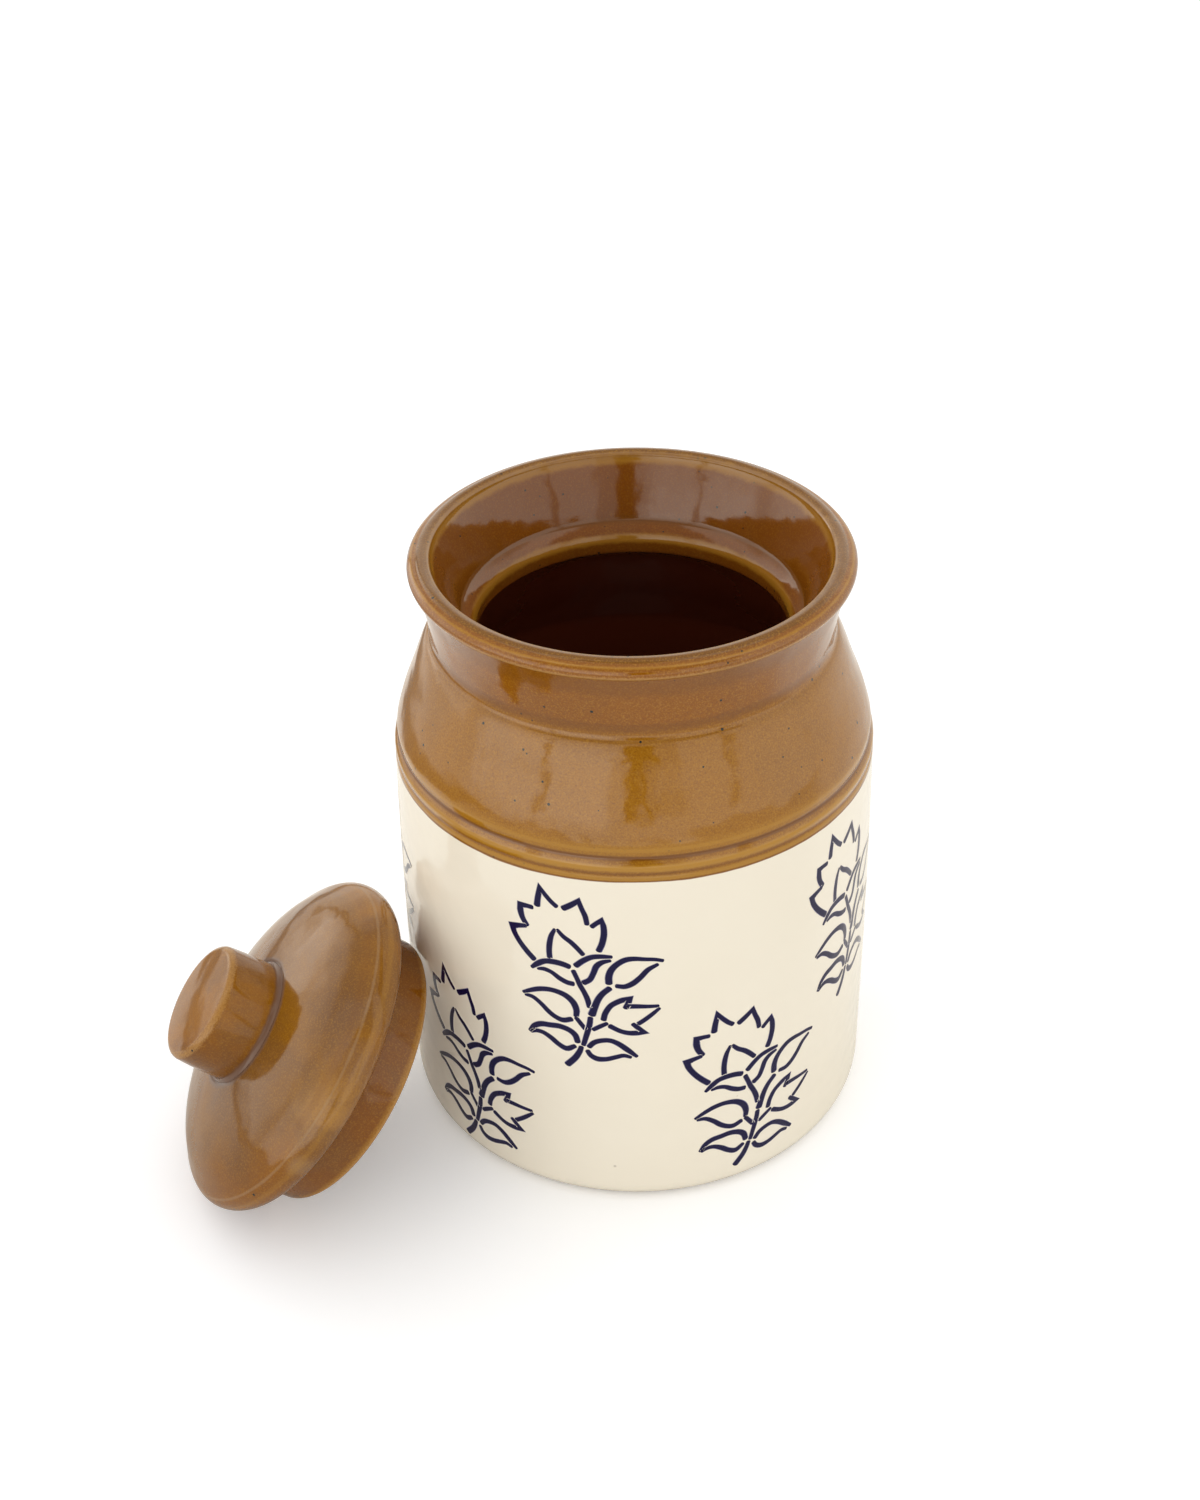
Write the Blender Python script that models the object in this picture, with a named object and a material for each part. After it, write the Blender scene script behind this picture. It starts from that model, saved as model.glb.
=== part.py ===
"""A two-tone stoneware storage jar with its domed lid taken off and leant against the wall.

The jar is one fired vessel: a flat base, an upright wall, a beaded band at the glaze line, a round
shoulder, a flared collar with a rolled lip, and inside the collar a rounded ledge over the throat.
The lid is a second vessel turned the same way, with a rolled rim and a locating flange under it,
and its knob is formed apart and luted onto the top.

Each piece is an outline in radius and height, turned about its own upright axis. Lengths are in
metres. Heights are counted up from the base, radii inwards from the body.
"""

import math

import bmesh
import bpy
from mathutils import Vector

# Jar, outside
BODY_RADIUS = 0.0625
BASE_ROUND = 0.0060
GLAZE_LINE_HEIGHT = 0.1076
WALL_DRAW = 0.0011
BAND_HEIGHT = 0.0078
GROOVE_DEPTH = 0.0011
SHOULDER_WIDTH = 0.0111
SHOULDER_RISE = 0.0249
COLLAR_RISE = 0.0224
NECK_ROUND = 0.0015

# Jar, mouth
NECK_WALL = 0.0079
SEAT_LIFT = 0.0057
SEAT_WIDTH = 0.0036
SEAT_RISE = 0.0050
THROAT_LAND = 0.0032
THROAT_ROUND = 0.0012
COLLAR_FLARE = 0.0067
LIP_WIDTH = 0.0057
LIP_THICKNESS = 0.0036
LIP_CROWN = 0.0003
LIP_OUTER_ROUND = 0.0019
LIP_INNER_ROUND = 0.0011

# Jar, inside
WALL_THICKNESS = 0.0053
FLOOR_THICKNESS = 0.0070
FLOOR_ROUND = 0.0080

# Lid, whose own axis runs up through the knob, with its zero at the centre of the rolled rim
THROAT_CLEARANCE = 0.0022
RIM_OVERHANG = 0.0090
RIM_ROLL = 0.0055
DOME_EDGE_WIDTH = 0.0066
DOME_EDGE_HEIGHT = 0.0077
DOME_RISE = 0.0144
FLANGE_DROP = 0.0176
FLANGE_THICKNESS = 0.0050
FLANGE_ROUND = 0.0015
LID_THICKNESS = 0.0052

# Knob
KNOB_RADIUS = 0.0160
KNOB_HEIGHT = 0.0144
KNOB_TAPER = 0.0004
KNOB_CROWN = 0.0006
KNOB_EDGE_ROUND = 0.0020
KNOB_FOOT_ROUND = 0.0008
KNOB_GROOVE_DEPTH = 0.0005
KNOB_GROOVE_WIDTH = 0.0014
LUTE_GAP = 0.0003

# How the lid stands: the foot of its flange on the floor and the top of its flange at the jar's wall
LEAN_GAP = 0.0003
LEAN_ANGLE = math.radians(39.9)
STAND_BEARING = math.radians(204.8)
LEAN_TURN = math.radians(-15.5)

# Places along a curve, as shares of the width and the height that it spans
WALL_BEND_SHARES = (0.29, 0.61)
BAND_SHARES = ((0.09, 0.27), (0.38, 0.09), (0.56, 0.45), (0.71, 1.0), (0.84, 0.93))
BAND_TOP_SHARE = 0.9
SHOULDER_SHARES = ((0.97, 0.06), (0.81, 0.27), (0.56, 0.53), (0.34, 0.77), (0.19, 0.91), (0.09, 0.975))
COLLAR_SHARES = (0.18, 0.59)
FLARE_SHARES = (0.42, 0.52)
SEAT_SHARES = (0.0, 0.49)
DOME_SHARES = (0.70, 0.39)
DOME_EDGE_SHARES = (0.5, 0.56)
HOLLOW_SHARES = (0.84, 0.95)
HOLLOW_START_SHARE = 0.04

# Where the rolled rim starts and ends, in degrees round its own centre
ROLL_ANGLES = (66, -80)

# Facets
JAR_SIDES = 60
LID_SIDES = 52
KNOB_SIDES = 40
LEAN_SIDES = 360
ARC_STEPS = 4
CORNER_STEPS = 3
ROLL_STEPS = 8
CURVE_STEPS = 4
LONG_CURVE_STEPS = 6
DOME_STEPS = 8
SHOULDER_STEPS = 2
BAND_STEPS = 2
SMOOTH_ANGLE = math.radians(35)
MERGE_DISTANCE = 0.00001

# Colours, as base colour, roughness
CREAM_GLAZE = ((0.86, 0.79, 0.64, 1.0), 0.16)
BROWN_GLAZE = ((0.34, 0.15, 0.045, 1.0), 0.18)

# Sizes that follow from those above
WALL_TOP_RADIUS = BODY_RADIUS - WALL_DRAW
NECK_RADIUS = WALL_TOP_RADIUS - SHOULDER_WIDTH
SEAT_RADIUS = NECK_RADIUS - NECK_WALL
THROAT_RADIUS = SEAT_RADIUS - SEAT_WIDTH
MOUTH_RADIUS = SEAT_RADIUS + COLLAR_FLARE
LIP_RADIUS = MOUTH_RADIUS + LIP_WIDTH
BAND_TOP_HEIGHT = GLAZE_LINE_HEIGHT + BAND_HEIGHT
NECK_HEIGHT = BAND_TOP_HEIGHT + SHOULDER_RISE
JAR_HEIGHT = NECK_HEIGHT + COLLAR_RISE
SEAT_HEIGHT = NECK_HEIGHT + SEAT_LIFT
THROAT_TOP = SEAT_HEIGHT - SEAT_RISE
THROAT_BOTTOM = THROAT_TOP - THROAT_LAND
FLANGE_RADIUS = THROAT_RADIUS - THROAT_CLEARANCE
RIM_RADIUS = FLANGE_RADIUS + RIM_OVERHANG


def arc(centre, radius, start, end, steps=ARC_STEPS):
    """Points on a round corner, from one angle to another in degrees, both ends included."""
    points = []
    for step in range(steps + 1):
        angle = math.radians(start + (end - start) * step / steps)
        points.append((centre[0] + radius * math.cos(angle), centre[1] + radius * math.sin(angle)))
    return points


def bend(start, pull, end, steps=CURVE_STEPS):
    """Points on a curve that leaves its start towards the pull and reaches its end from it."""
    points = []
    for step in range(steps + 1):
        t = step / steps
        weights = ((1 - t) ** 2, 2 * t * (1 - t), t * t)
        points.append(tuple(sum(w * p[i] for w, p in zip(weights, (start, pull, end))) for i in (0, 1)))
    return points


def between(start, end, across, up):
    """The point at these shares of the way from start to end, in radius and in height."""
    return (start[0] + (end[0] - start[0]) * across, start[1] + (end[1] - start[1]) * up)


def through(points, steps):
    """A smooth line through every one of the points."""
    ends = [Vector(point) for point in points]
    ends = [2 * ends[0] - ends[1], *ends, 2 * ends[-1] - ends[-2]]
    line = []
    for before, start, end, after in zip(ends, ends[1:], ends[2:], ends[3:]):
        for step in range(steps):
            t = step / steps
            place = 2 * start + (end - before) * t
            place += (2 * before - 5 * start + 4 * end - after) * t**2
            place += (3 * start - before - 3 * end + after) * t**3
            line.append(tuple(place / 2))
    return [*line, tuple(points[-1])]


def shoulder(outer, inner, steps=1):
    """The shoulder's round from its outer, lower end to its inner, upper end."""
    middle = [between(inner, outer, out, 1 - up) for out, up in SHOULDER_SHARES]
    return through([outer, *middle, inner], steps)


def joined(*stretches):
    """One outline from stretches whose ends meet, with each shared point kept once."""
    outline = []
    for stretch in stretches:
        for point in stretch:
            if not outline or math.dist(outline[-1], point) > MERGE_DISTANCE:
                outline.append(point)
    return outline


def jar_inside():
    """From the middle of the floor up the inner wall, under the shoulder and to the throat."""
    inner_radius = BODY_RADIUS - WALL_THICKNESS
    floor_centre = (inner_radius - FLOOR_ROUND, FLOOR_THICKNESS + FLOOR_ROUND)
    shoulder_start = (WALL_TOP_RADIUS - WALL_THICKNESS, GLAZE_LINE_HEIGHT)
    shoulder_end = (THROAT_RADIUS + THROAT_ROUND, THROAT_BOTTOM)
    throat_centre = (THROAT_RADIUS + THROAT_ROUND, THROAT_BOTTOM + THROAT_ROUND)
    return joined(
        [(0.0, FLOOR_THICKNESS)],
        arc(floor_centre, FLOOR_ROUND, 270, 360),
        [shoulder_start],
        shoulder(shoulder_start, shoulder_end),
        arc(throat_centre, THROAT_ROUND, 270, 180, CORNER_STEPS),
    )


def jar_mouth():
    """From the throat over the rounded ledge and up the flared collar to the lip's inner edge."""
    throat = (THROAT_RADIUS, THROAT_TOP)
    seat = (SEAT_RADIUS, SEAT_HEIGHT)
    mouth = (MOUTH_RADIUS, JAR_HEIGHT - LIP_INNER_ROUND - LIP_CROWN)
    return joined(
        bend(throat, between(throat, seat, *SEAT_SHARES), seat),
        bend(seat, between(seat, mouth, *FLARE_SHARES), mouth),
    )


def jar_lip():
    """Over the lip: its inner edge, its slightly crowned top and its rolled outer edge."""
    inner = (MOUTH_RADIUS + LIP_INNER_ROUND, JAR_HEIGHT - LIP_INNER_ROUND - LIP_CROWN)
    outer = (LIP_RADIUS - LIP_OUTER_ROUND, JAR_HEIGHT - LIP_OUTER_ROUND - LIP_CROWN)
    top_start = (inner[0], inner[1] + LIP_INNER_ROUND)
    top_end = (outer[0], outer[1] + LIP_OUTER_ROUND)
    crown = ((top_start[0] + top_end[0]) / 2, JAR_HEIGHT + LIP_CROWN)
    return joined(
        arc(inner, LIP_INNER_ROUND, 180, 90, CORNER_STEPS),
        bend(top_start, crown, top_end),
        arc(outer, LIP_OUTER_ROUND, 90, -25),
    )


def jar_outside():
    """Down the collar, the shoulder, the band and the wall to the middle of the flat base."""
    lip_foot = (LIP_RADIUS - LIP_OUTER_ROUND / 2, JAR_HEIGHT - LIP_THICKNESS)
    neck = (NECK_RADIUS, NECK_HEIGHT)
    collar_foot = (NECK_RADIUS, NECK_HEIGHT + NECK_ROUND)
    band_top = (WALL_TOP_RADIUS - GROOVE_DEPTH * BAND_TOP_SHARE, BAND_TOP_HEIGHT)
    glaze_line = (WALL_TOP_RADIUS, GLAZE_LINE_HEIGHT)
    band = [glaze_line]
    for up, inward in BAND_SHARES:
        band.append((WALL_TOP_RADIUS - GROOVE_DEPTH * inward, GLAZE_LINE_HEIGHT + BAND_HEIGHT * up))
    band.append(band_top)
    slope = shoulder(band_top, neck, SHOULDER_STEPS)[:-SHOULDER_STEPS]
    straight_top = (BODY_RADIUS, GLAZE_LINE_HEIGHT * WALL_BEND_SHARES[0])
    wall_pull = (BODY_RADIUS, GLAZE_LINE_HEIGHT * WALL_BEND_SHARES[1])
    return joined(
        bend(lip_foot, between(collar_foot, lip_foot, *COLLAR_SHARES), collar_foot, LONG_CURVE_STEPS),
        bend(collar_foot, neck, slope[-1], CORNER_STEPS),
        reversed(slope),
        reversed(through(band, BAND_STEPS)),
        bend(glaze_line, wall_pull, straight_top),
        arc((BODY_RADIUS - BASE_ROUND, BASE_ROUND), BASE_ROUND, 0, -90),
        [(0.0, 0.0)],
    )


def jar_outline():
    return joined(jar_inside(), jar_mouth(), jar_lip(), jar_outside())


def lid_top():
    """From the knob's seat out over the groove and the dome and round the thick rolled rim."""
    groove_start = (KNOB_RADIUS - KNOB_GROOVE_WIDTH / 2, DOME_RISE)
    groove_end = (KNOB_RADIUS + KNOB_GROOVE_WIDTH, DOME_RISE - KNOB_GROOVE_DEPTH / 2)
    groove_foot = (KNOB_RADIUS + KNOB_GROOVE_WIDTH / 3, DOME_RISE - KNOB_GROOVE_DEPTH)
    roll = arc((RIM_RADIUS - RIM_ROLL, 0.0), RIM_ROLL, *ROLL_ANGLES, ROLL_STEPS)
    dome_end = (RIM_RADIUS - DOME_EDGE_WIDTH, DOME_EDGE_HEIGHT)
    return joined(
        [(0.0, DOME_RISE), groove_start, groove_foot],
        bend(groove_end, between(groove_end, dome_end, *DOME_SHARES), dome_end, DOME_STEPS),
        bend(dome_end, between(dome_end, roll[0], *DOME_EDGE_SHARES), roll[0], CORNER_STEPS),
        roll,
    )


def lid_underside():
    """In from the rim, down and round the flange and up into the hollow of the dome."""
    roll_foot = RIM_ROLL * math.sin(math.radians(ROLL_ANGLES[1]))
    corner = (FLANGE_RADIUS + FLANGE_ROUND, roll_foot - FLANGE_ROUND)
    outer_end = (FLANGE_RADIUS - FLANGE_ROUND, FLANGE_ROUND - FLANGE_DROP)
    inner_radius = FLANGE_RADIUS - FLANGE_THICKNESS
    inner_end = (inner_radius + FLANGE_ROUND, FLANGE_ROUND - FLANGE_DROP)
    hollow_top = (0.0, DOME_RISE - LID_THICKNESS)
    hollow_start = (inner_radius, hollow_top[1] * HOLLOW_START_SHARE)
    hollow_pull = (inner_radius * HOLLOW_SHARES[0], hollow_top[1] * HOLLOW_SHARES[1])
    return joined(
        arc(corner, FLANGE_ROUND, 90, 180, CORNER_STEPS),
        arc(outer_end, FLANGE_ROUND, 0, -90, CORNER_STEPS),
        arc(inner_end, FLANGE_ROUND, 270, 180, CORNER_STEPS),
        bend(hollow_start, hollow_pull, hollow_top, LONG_CURVE_STEPS),
    )


def lid_outline():
    return joined(lid_top(), lid_underside())


def knob_outline():
    """The knob: a crowned top, a rounded edge, sides that widen downwards and a tucked-in foot."""
    foot = DOME_RISE + LUTE_GAP
    top = foot + KNOB_HEIGHT
    top_radius = KNOB_RADIUS - KNOB_TAPER
    edge_centre = (top_radius - KNOB_EDGE_ROUND, top - KNOB_CROWN - KNOB_EDGE_ROUND)
    edge_top = (edge_centre[0], edge_centre[1] + KNOB_EDGE_ROUND)
    foot_centre = (KNOB_RADIUS - KNOB_FOOT_ROUND - KNOB_GROOVE_WIDTH / 2, foot + KNOB_FOOT_ROUND)
    foot_edge = (foot_centre[0] + KNOB_FOOT_ROUND, foot_centre[1])
    return joined(
        bend((0.0, top), (edge_top[0] / 2, top), edge_top),
        arc(edge_centre, KNOB_EDGE_ROUND, 90, 0),
        bend((top_radius, edge_centre[1]), (KNOB_RADIUS, (top + foot) / 2), foot_edge),
        arc(foot_centre, KNOB_FOOT_ROUND, 0, -90, CORNER_STEPS),
        [(0.0, foot)],
    )


def glaze(name, look):
    """A glossy fired glaze."""
    colour, roughness = look
    material = bpy.data.materials.new(name)
    material.use_nodes = True
    shader = material.node_tree.nodes["Principled BSDF"]
    shader.inputs["Base Color"].default_value = colour
    shader.inputs["Roughness"].default_value = roughness
    shader.inputs["Metallic"].default_value = 0.0
    return material


def turned(name, outline, sides, materials, slot_of=None):
    """An outline turned once about its axis, with each face given its glaze."""
    shape = bmesh.new()
    points = [shape.verts.new((radius, 0.0, height)) for radius, height in outline]
    edges = [shape.edges.new(pair) for pair in zip(points, points[1:])]
    bmesh.ops.spin(
        shape,
        geom=[*points, *edges],
        cent=(0.0, 0.0, 0.0),
        axis=(0.0, 0.0, 1.0),
        angle=math.tau,
        steps=sides,
    )
    bmesh.ops.remove_doubles(shape, verts=shape.verts, dist=MERGE_DISTANCE)
    bmesh.ops.recalc_face_normals(shape, faces=shape.faces)
    for face in shape.faces:
        face.material_index = slot_of(face) if slot_of else 0
    mesh = bpy.data.meshes.new(name)
    shape.to_mesh(mesh)
    shape.free()
    for material in materials:
        mesh.materials.append(material)
    mesh.shade_smooth()
    mesh.set_sharp_from_angle(angle=SMOOTH_ANGLE)
    piece = bpy.data.objects.new(name, mesh)
    bpy.context.scene.collection.objects.link(piece)
    return piece


def wears_cream(face):
    """Slot 0, the cream glaze, on the outside below the glaze line, and slot 1 elsewhere."""
    place = face.calc_center_median()
    outside = Vector(place.xy).length > BODY_RADIUS - WALL_THICKNESS / 2 or place.z < FLOOR_THICKNESS / 2
    return 0 if outside and place.z < GLAZE_LINE_HEIGHT else 1


def lid_stand():
    """Where the lid's own zero goes, and its turn, so that it meets both the floor and the wall."""
    turn = STAND_BEARING + LEAN_TURN
    level = Vector((-math.sin(turn), math.cos(turn), 0.0))
    axis = Vector((math.cos(LEAN_ANGLE) * math.cos(turn), math.cos(LEAN_ANGLE) * math.sin(turn), 0.0))
    axis.z = math.sin(LEAN_ANGLE)
    upward = axis.cross(level)
    away = Vector((math.cos(STAND_BEARING), math.sin(STAND_BEARING)))
    reach = BODY_RADIUS + LEAN_GAP
    distance = 0.0
    lowest = 0.0
    for radius, height in lid_outline():
        lowest = min(lowest, height * math.sin(LEAN_ANGLE) - radius * math.cos(LEAN_ANGLE))
        for step in range(LEAN_SIDES):
            angle = math.tau * step / LEAN_SIDES
            edge = height * axis + radius * (math.cos(angle) * level + math.sin(angle) * upward)
            aside = away.x * edge.y - away.y * edge.x
            if abs(aside) < reach:
                distance = max(distance, math.sqrt(reach**2 - aside**2) - away.dot(edge.xy))
    return Vector((distance * away.x, distance * away.y, -lowest)), (0.0, math.pi / 2 - LEAN_ANGLE, turn)


def main():
    for old in list(bpy.data.objects):
        bpy.data.objects.remove(old, do_unlink=True)
    cream = glaze("cream_glaze", CREAM_GLAZE)
    brown = glaze("brown_glaze", BROWN_GLAZE)
    lid_glaze = glaze("lid_glaze", BROWN_GLAZE)
    knob_glaze = glaze("knob_glaze", BROWN_GLAZE)

    turned("jar_body", jar_outline(), JAR_SIDES, (cream, brown), wears_cream)

    stand = bpy.data.objects.new("lid_stand", None)
    bpy.context.scene.collection.objects.link(stand)
    stand.location, stand.rotation_euler = lid_stand()
    lid = turned("lid", lid_outline(), LID_SIDES, (lid_glaze,))
    knob = turned("lid_knob", knob_outline(), KNOB_SIDES, (knob_glaze,))
    for piece in (lid, knob):
        piece.parent = stand


main()
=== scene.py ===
"""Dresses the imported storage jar: turned glazed pottery, printed sprigs, a pale studio and the camera.

Run as a script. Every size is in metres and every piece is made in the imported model's own frame.
"""

import math

import bmesh
import bpy
import numpy as np
from mathutils import Matrix, Vector


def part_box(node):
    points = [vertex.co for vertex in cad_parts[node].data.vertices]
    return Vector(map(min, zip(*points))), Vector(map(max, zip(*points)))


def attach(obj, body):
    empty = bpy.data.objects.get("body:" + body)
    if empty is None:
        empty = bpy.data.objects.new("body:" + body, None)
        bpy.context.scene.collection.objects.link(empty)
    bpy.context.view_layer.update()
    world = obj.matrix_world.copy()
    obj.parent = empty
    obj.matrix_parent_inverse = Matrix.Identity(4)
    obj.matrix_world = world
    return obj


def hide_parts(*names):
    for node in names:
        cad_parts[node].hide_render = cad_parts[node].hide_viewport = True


bl_info = {
    "name": "Two-tone storage jar",
    "version": (1, 0, 0),
    "blender": (4, 5, 0),
    "location": "3D View > Sidebar > Jar",
    "description": "Builds a two-tone stoneware jar, its leaning lid and a pale studio round them",
    "category": "Add Mesh",
}

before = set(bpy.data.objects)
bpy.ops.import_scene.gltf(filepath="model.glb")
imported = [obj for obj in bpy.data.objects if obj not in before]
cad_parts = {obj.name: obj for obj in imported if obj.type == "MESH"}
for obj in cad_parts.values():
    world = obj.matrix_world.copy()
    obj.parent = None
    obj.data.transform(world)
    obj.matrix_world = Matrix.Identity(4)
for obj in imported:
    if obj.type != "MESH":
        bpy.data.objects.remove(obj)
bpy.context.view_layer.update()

JAR_NODE = "jar_body"
LID_NODE = "lid"
KNOB_NODE = "lid_knob"
JAR_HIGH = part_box(JAR_NODE)[1]

# One sprig of the print, in millimetres about its own middle: strokes of (along, up, width), where
# the stretches of one stroke meet in a sharp corner
SPRIG_STROKES = (
    # crown peak left
    (
        ((-11.6, 23.2, 1.3), (-11.4, 25.0, 1.2), (-11.1, 26.8, 1.1), (-10.8, 28.7, 0.8)),
        ((-10.8, 28.7, 0.8), (-9.4, 26.9, 0.9), (-7.9, 25.2, 0.9), (-6.6, 24.1, 0.9)),
    ),
    # crown peak right
    (
        ((-4.8, 23.9, 1.2), (-3.1, 25.1, 1.2), (-1.0, 26.8, 0.9)),
        ((-1.0, 26.8, 0.9), (-0.2, 24.5, 0.9), (0.6, 22.4, 1.0), (1.0, 20.1, 0.9)),
    ),
    # crown side right
    (
        ((2.2, 19.5, 0.9), (3.2, 20.5, 0.9), (4.5, 21.6, 0.9)),
        ((4.5, 21.6, 0.9), (5.0, 20.0, 1.1), (5.1, 17.4, 1.2), (4.6, 14.5, 1.2), (3.8, 12.3, 1.2)),
    ),
    # crown side left
    (
        ((-13.0, 22.1, 0.9), (-14.8, 22.1, 1.0), (-16.2, 22.0, 1.2)),
        ((-16.2, 22.0, 1.2), (-16.2, 20.2, 1.4), (-15.7, 18.1, 1.2), (-14.6, 16.2, 1.1)),
    ),
    # crown low left
    (
        ((-15.0, 15.8, 0.8), (-17.1, 15.2, 1.1), (-18.7, 14.7, 1.4)),
        ((-18.7, 14.7, 1.4), (-18.1, 12.6, 1.2), (-16.7, 10.2, 1.2), (-14.8, 7.9, 1.3), (-13.0, 6.1, 1.3)),
    ),
    # inner petal left
    (
        ((-7.2, 16.9, 0.5), (-8.1, 14.8, 0.9), (-8.6, 12.4, 1.1), (-8.8, 10.0, 1.1), (-8.7, 7.9, 1.1)),
    ),
    # inner petal right
    (
        ((-6.5, 16.9, 0.6), (-5.0, 15.2, 0.9), (-3.2, 13.9, 1.0), (-1.7, 12.4, 1.0), (-0.2, 10.6, 0.9)),
    ),
    # calyx left top
    (
        (
            (-13.6, 3.3, 0.6), (-11.9, 5.0, 1.2), (-10.0, 6.3, 1.2), (-7.4, 6.7, 1.3), (-5.2, 6.5, 1.3),
            (-3.8, 6.1, 1.2),
        ),
    ),
    # calyx left foot
    (
        (
            (-12.0, 3.3, 0.4), (-10.2, 3.7, 0.9), (-8.3, 3.2, 0.9), (-6.4, 1.9, 1.1), (-4.5, 1.0, 1.1),
            (-2.9, 0.8, 1.1),
        ),
    ),
    # calyx right top
    (
        ((-2.0, 6.8, 1.2), (-0.2, 8.6, 1.2), (1.9, 10.0, 1.1), (4.3, 10.5, 1.0), (6.8, 10.6, 0.6)),
    ),
    # calyx right foot
    (
        (
            (6.5, 9.4, 0.5), (4.5, 8.7, 1.0), (3.1, 7.3, 1.2), (2.3, 5.0, 1.1), (1.4, 2.9, 1.1),
            (-0.1, 1.7, 1.2),
        ),
    ),
    # flower stem
    (
        (
            (-2.7, 4.9, 0.9), (-1.8, 2.6, 0.9), (-1.1, 0.7, 1.0), (-0.1, -1.4, 1.0), (0.7, -3.6, 1.1),
            (1.1, -5.9, 0.9),
        ),
    ),
    # top leaf back
    (
        (
            (6.1, 2.3, 1.4), (6.1, 4.3, 1.4), (6.7, 6.4, 1.3), (8.1, 8.3, 1.2), (10.2, 9.8, 1.2),
            (12.4, 10.2, 1.0), (15.0, 10.0, 0.8), (17.4, 9.8, 0.7), (19.3, 9.3, 0.6),
        ),
    ),
    # top leaf front
    (
        (
            (8.0, 1.5, 0.9), (10.0, 1.4, 1.1), (11.9, 2.4, 1.2), (13.8, 4.3, 1.1), (15.7, 6.7, 1.0),
            (18.0, 8.2, 0.6),
        ),
    ),
    # side stem
    (
        ((6.2, 0.6, 1.2), (4.5, -1.2, 1.2), (3.3, -3.3, 1.3), (2.4, -6.0, 1.4), (1.7, -8.3, 1.6)),
    ),
    # stem
    (
        ((1.3, -9.5, 1.0), (1.1, -11.4, 1.1), (0.6, -13.8, 1.1), (0.0, -16.2, 1.0), (-0.6, -18.7, 0.9)),
    ),
    # stem foot
    (
        ((-1.2, -19.6, 0.9), (-1.7, -21.2, 1.1), (-2.9, -23.6, 1.3), (-4.9, -26.2, 1.4)),
    ),
    # left leaf back
    (
        (
            (-16.3, -5.7, 0.5), (-14.1, -4.3, 0.9), (-11.4, -3.0, 1.1), (-8.3, -2.5, 1.1),
            (-5.2, -3.2, 1.3), (-3.1, -5.0, 1.4), (-2.2, -7.4, 1.3), (-2.3, -9.5, 1.0),
        ),
    ),
    # left leaf front
    (
        (
            (-15.7, -6.3, 0.6), (-13.6, -6.4, 0.9), (-11.4, -7.9, 1.0), (-9.5, -9.8, 1.1),
            (-7.6, -11.1, 1.1), (-5.7, -11.6, 1.2), (-3.6, -10.8, 1.1),
        ),
    ),
    # left leaf stalk
    (
        ((-2.3, -10.1, 0.8), (-1.2, -11.7, 0.9), (-0.1, -13.3, 0.9)),
    ),
    # right leaf stalk
    (
        ((5.4, -10.8, 0.7), (3.6, -12.0, 0.9), (2.0, -13.2, 0.8)),
    ),
    # toothed leaf back
    (
        (
            (4.6, -9.6, 1.1), (5.1, -7.4, 1.1), (6.4, -5.0, 1.1), (8.3, -3.5, 1.2), (10.0, -2.7, 1.2),
            (11.2, -2.4, 0.9),
        ),
        ((11.2, -2.4, 0.9), (10.8, -3.9, 1.1), (10.1, -5.4, 1.0)),
    ),
    # toothed leaf edge
    (
        ((10.9, -4.9, 1.1), (13.1, -4.9, 1.0), (15.5, -5.0, 0.8), (18.1, -5.0, 0.6)),
    ),
    # toothed leaf tip
    (
        ((18.4, -5.8, 0.5), (16.7, -7.5, 0.8), (15.0, -9.1, 0.9), (13.3, -10.5, 0.9)),
    ),
    # toothed leaf front
    (
        ((11.9, -10.7, 0.8), (13.1, -11.9, 1.0), (14.7, -13.4, 0.7)),
        ((14.7, -13.4, 0.7), (12.9, -13.6, 1.2), (10.7, -13.6, 1.1), (8.6, -13.0, 1.0), (6.2, -11.6, 1.1)),
    ),
    # low left leaf back
    (
        (
            (-14.9, -17.9, 0.6), (-13.6, -15.9, 1.1), (-11.7, -14.6, 1.3), (-9.3, -14.2, 1.3),
            (-6.7, -13.9, 1.3), (-4.3, -14.5, 1.3), (-2.7, -15.9, 1.3), (-2.1, -18.0, 1.2),
        ),
    ),
    # low left leaf front
    (
        (
            (-14.5, -18.1, 0.6), (-13.1, -17.3, 0.9), (-11.2, -17.3, 1.0), (-9.1, -18.4, 1.2),
            (-7.1, -20.0, 1.2), (-5.0, -20.9, 1.3), (-2.9, -19.6, 0.9),
        ),
    ),
    # low right leaf back
    (
        (
            (0.8, -19.1, 1.0), (2.1, -17.5, 1.1), (4.0, -16.6, 1.1), (6.2, -16.4, 1.1), (8.3, -17.4, 1.2),
            (10.5, -19.3, 1.2), (12.7, -21.4, 0.6),
        ),
    ),
    # low right leaf front
    (
        (
            (0.4, -20.6, 0.9), (1.2, -22.0, 1.1), (2.9, -22.9, 1.3), (5.2, -22.7, 1.1), (7.6, -21.8, 1.0),
            (9.5, -21.2, 0.9), (11.2, -21.7, 0.6),
        ),
    ),
)

# A stroke prints wider than it is drawn: by a factor, and by a bleed in millimetres at each side
STROKE_WIDENING = 1.25
STROKE_BLEED = 0.28
# The print goes round the wall in two staggered rows of five, as (bearing in degrees, height in metres)
UPPER_ROW = ((-85.4, 0.0733), (-11.8, 0.0737), (61.6, 0.0729), (132.4, 0.0736), (203.4, 0.0732))
LOWER_ROW = ((-42.7, 0.0323), (28.5, 0.0343), (100.7, 0.0330), (172.9, 0.0338), (245.1, 0.0328))


# Sizes and colours


def length(name, description, default):
    """A length in metres that a user may change."""
    return bpy.props.FloatProperty(
        name=name, description=description, default=default, unit="LENGTH", precision=5
    )


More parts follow.
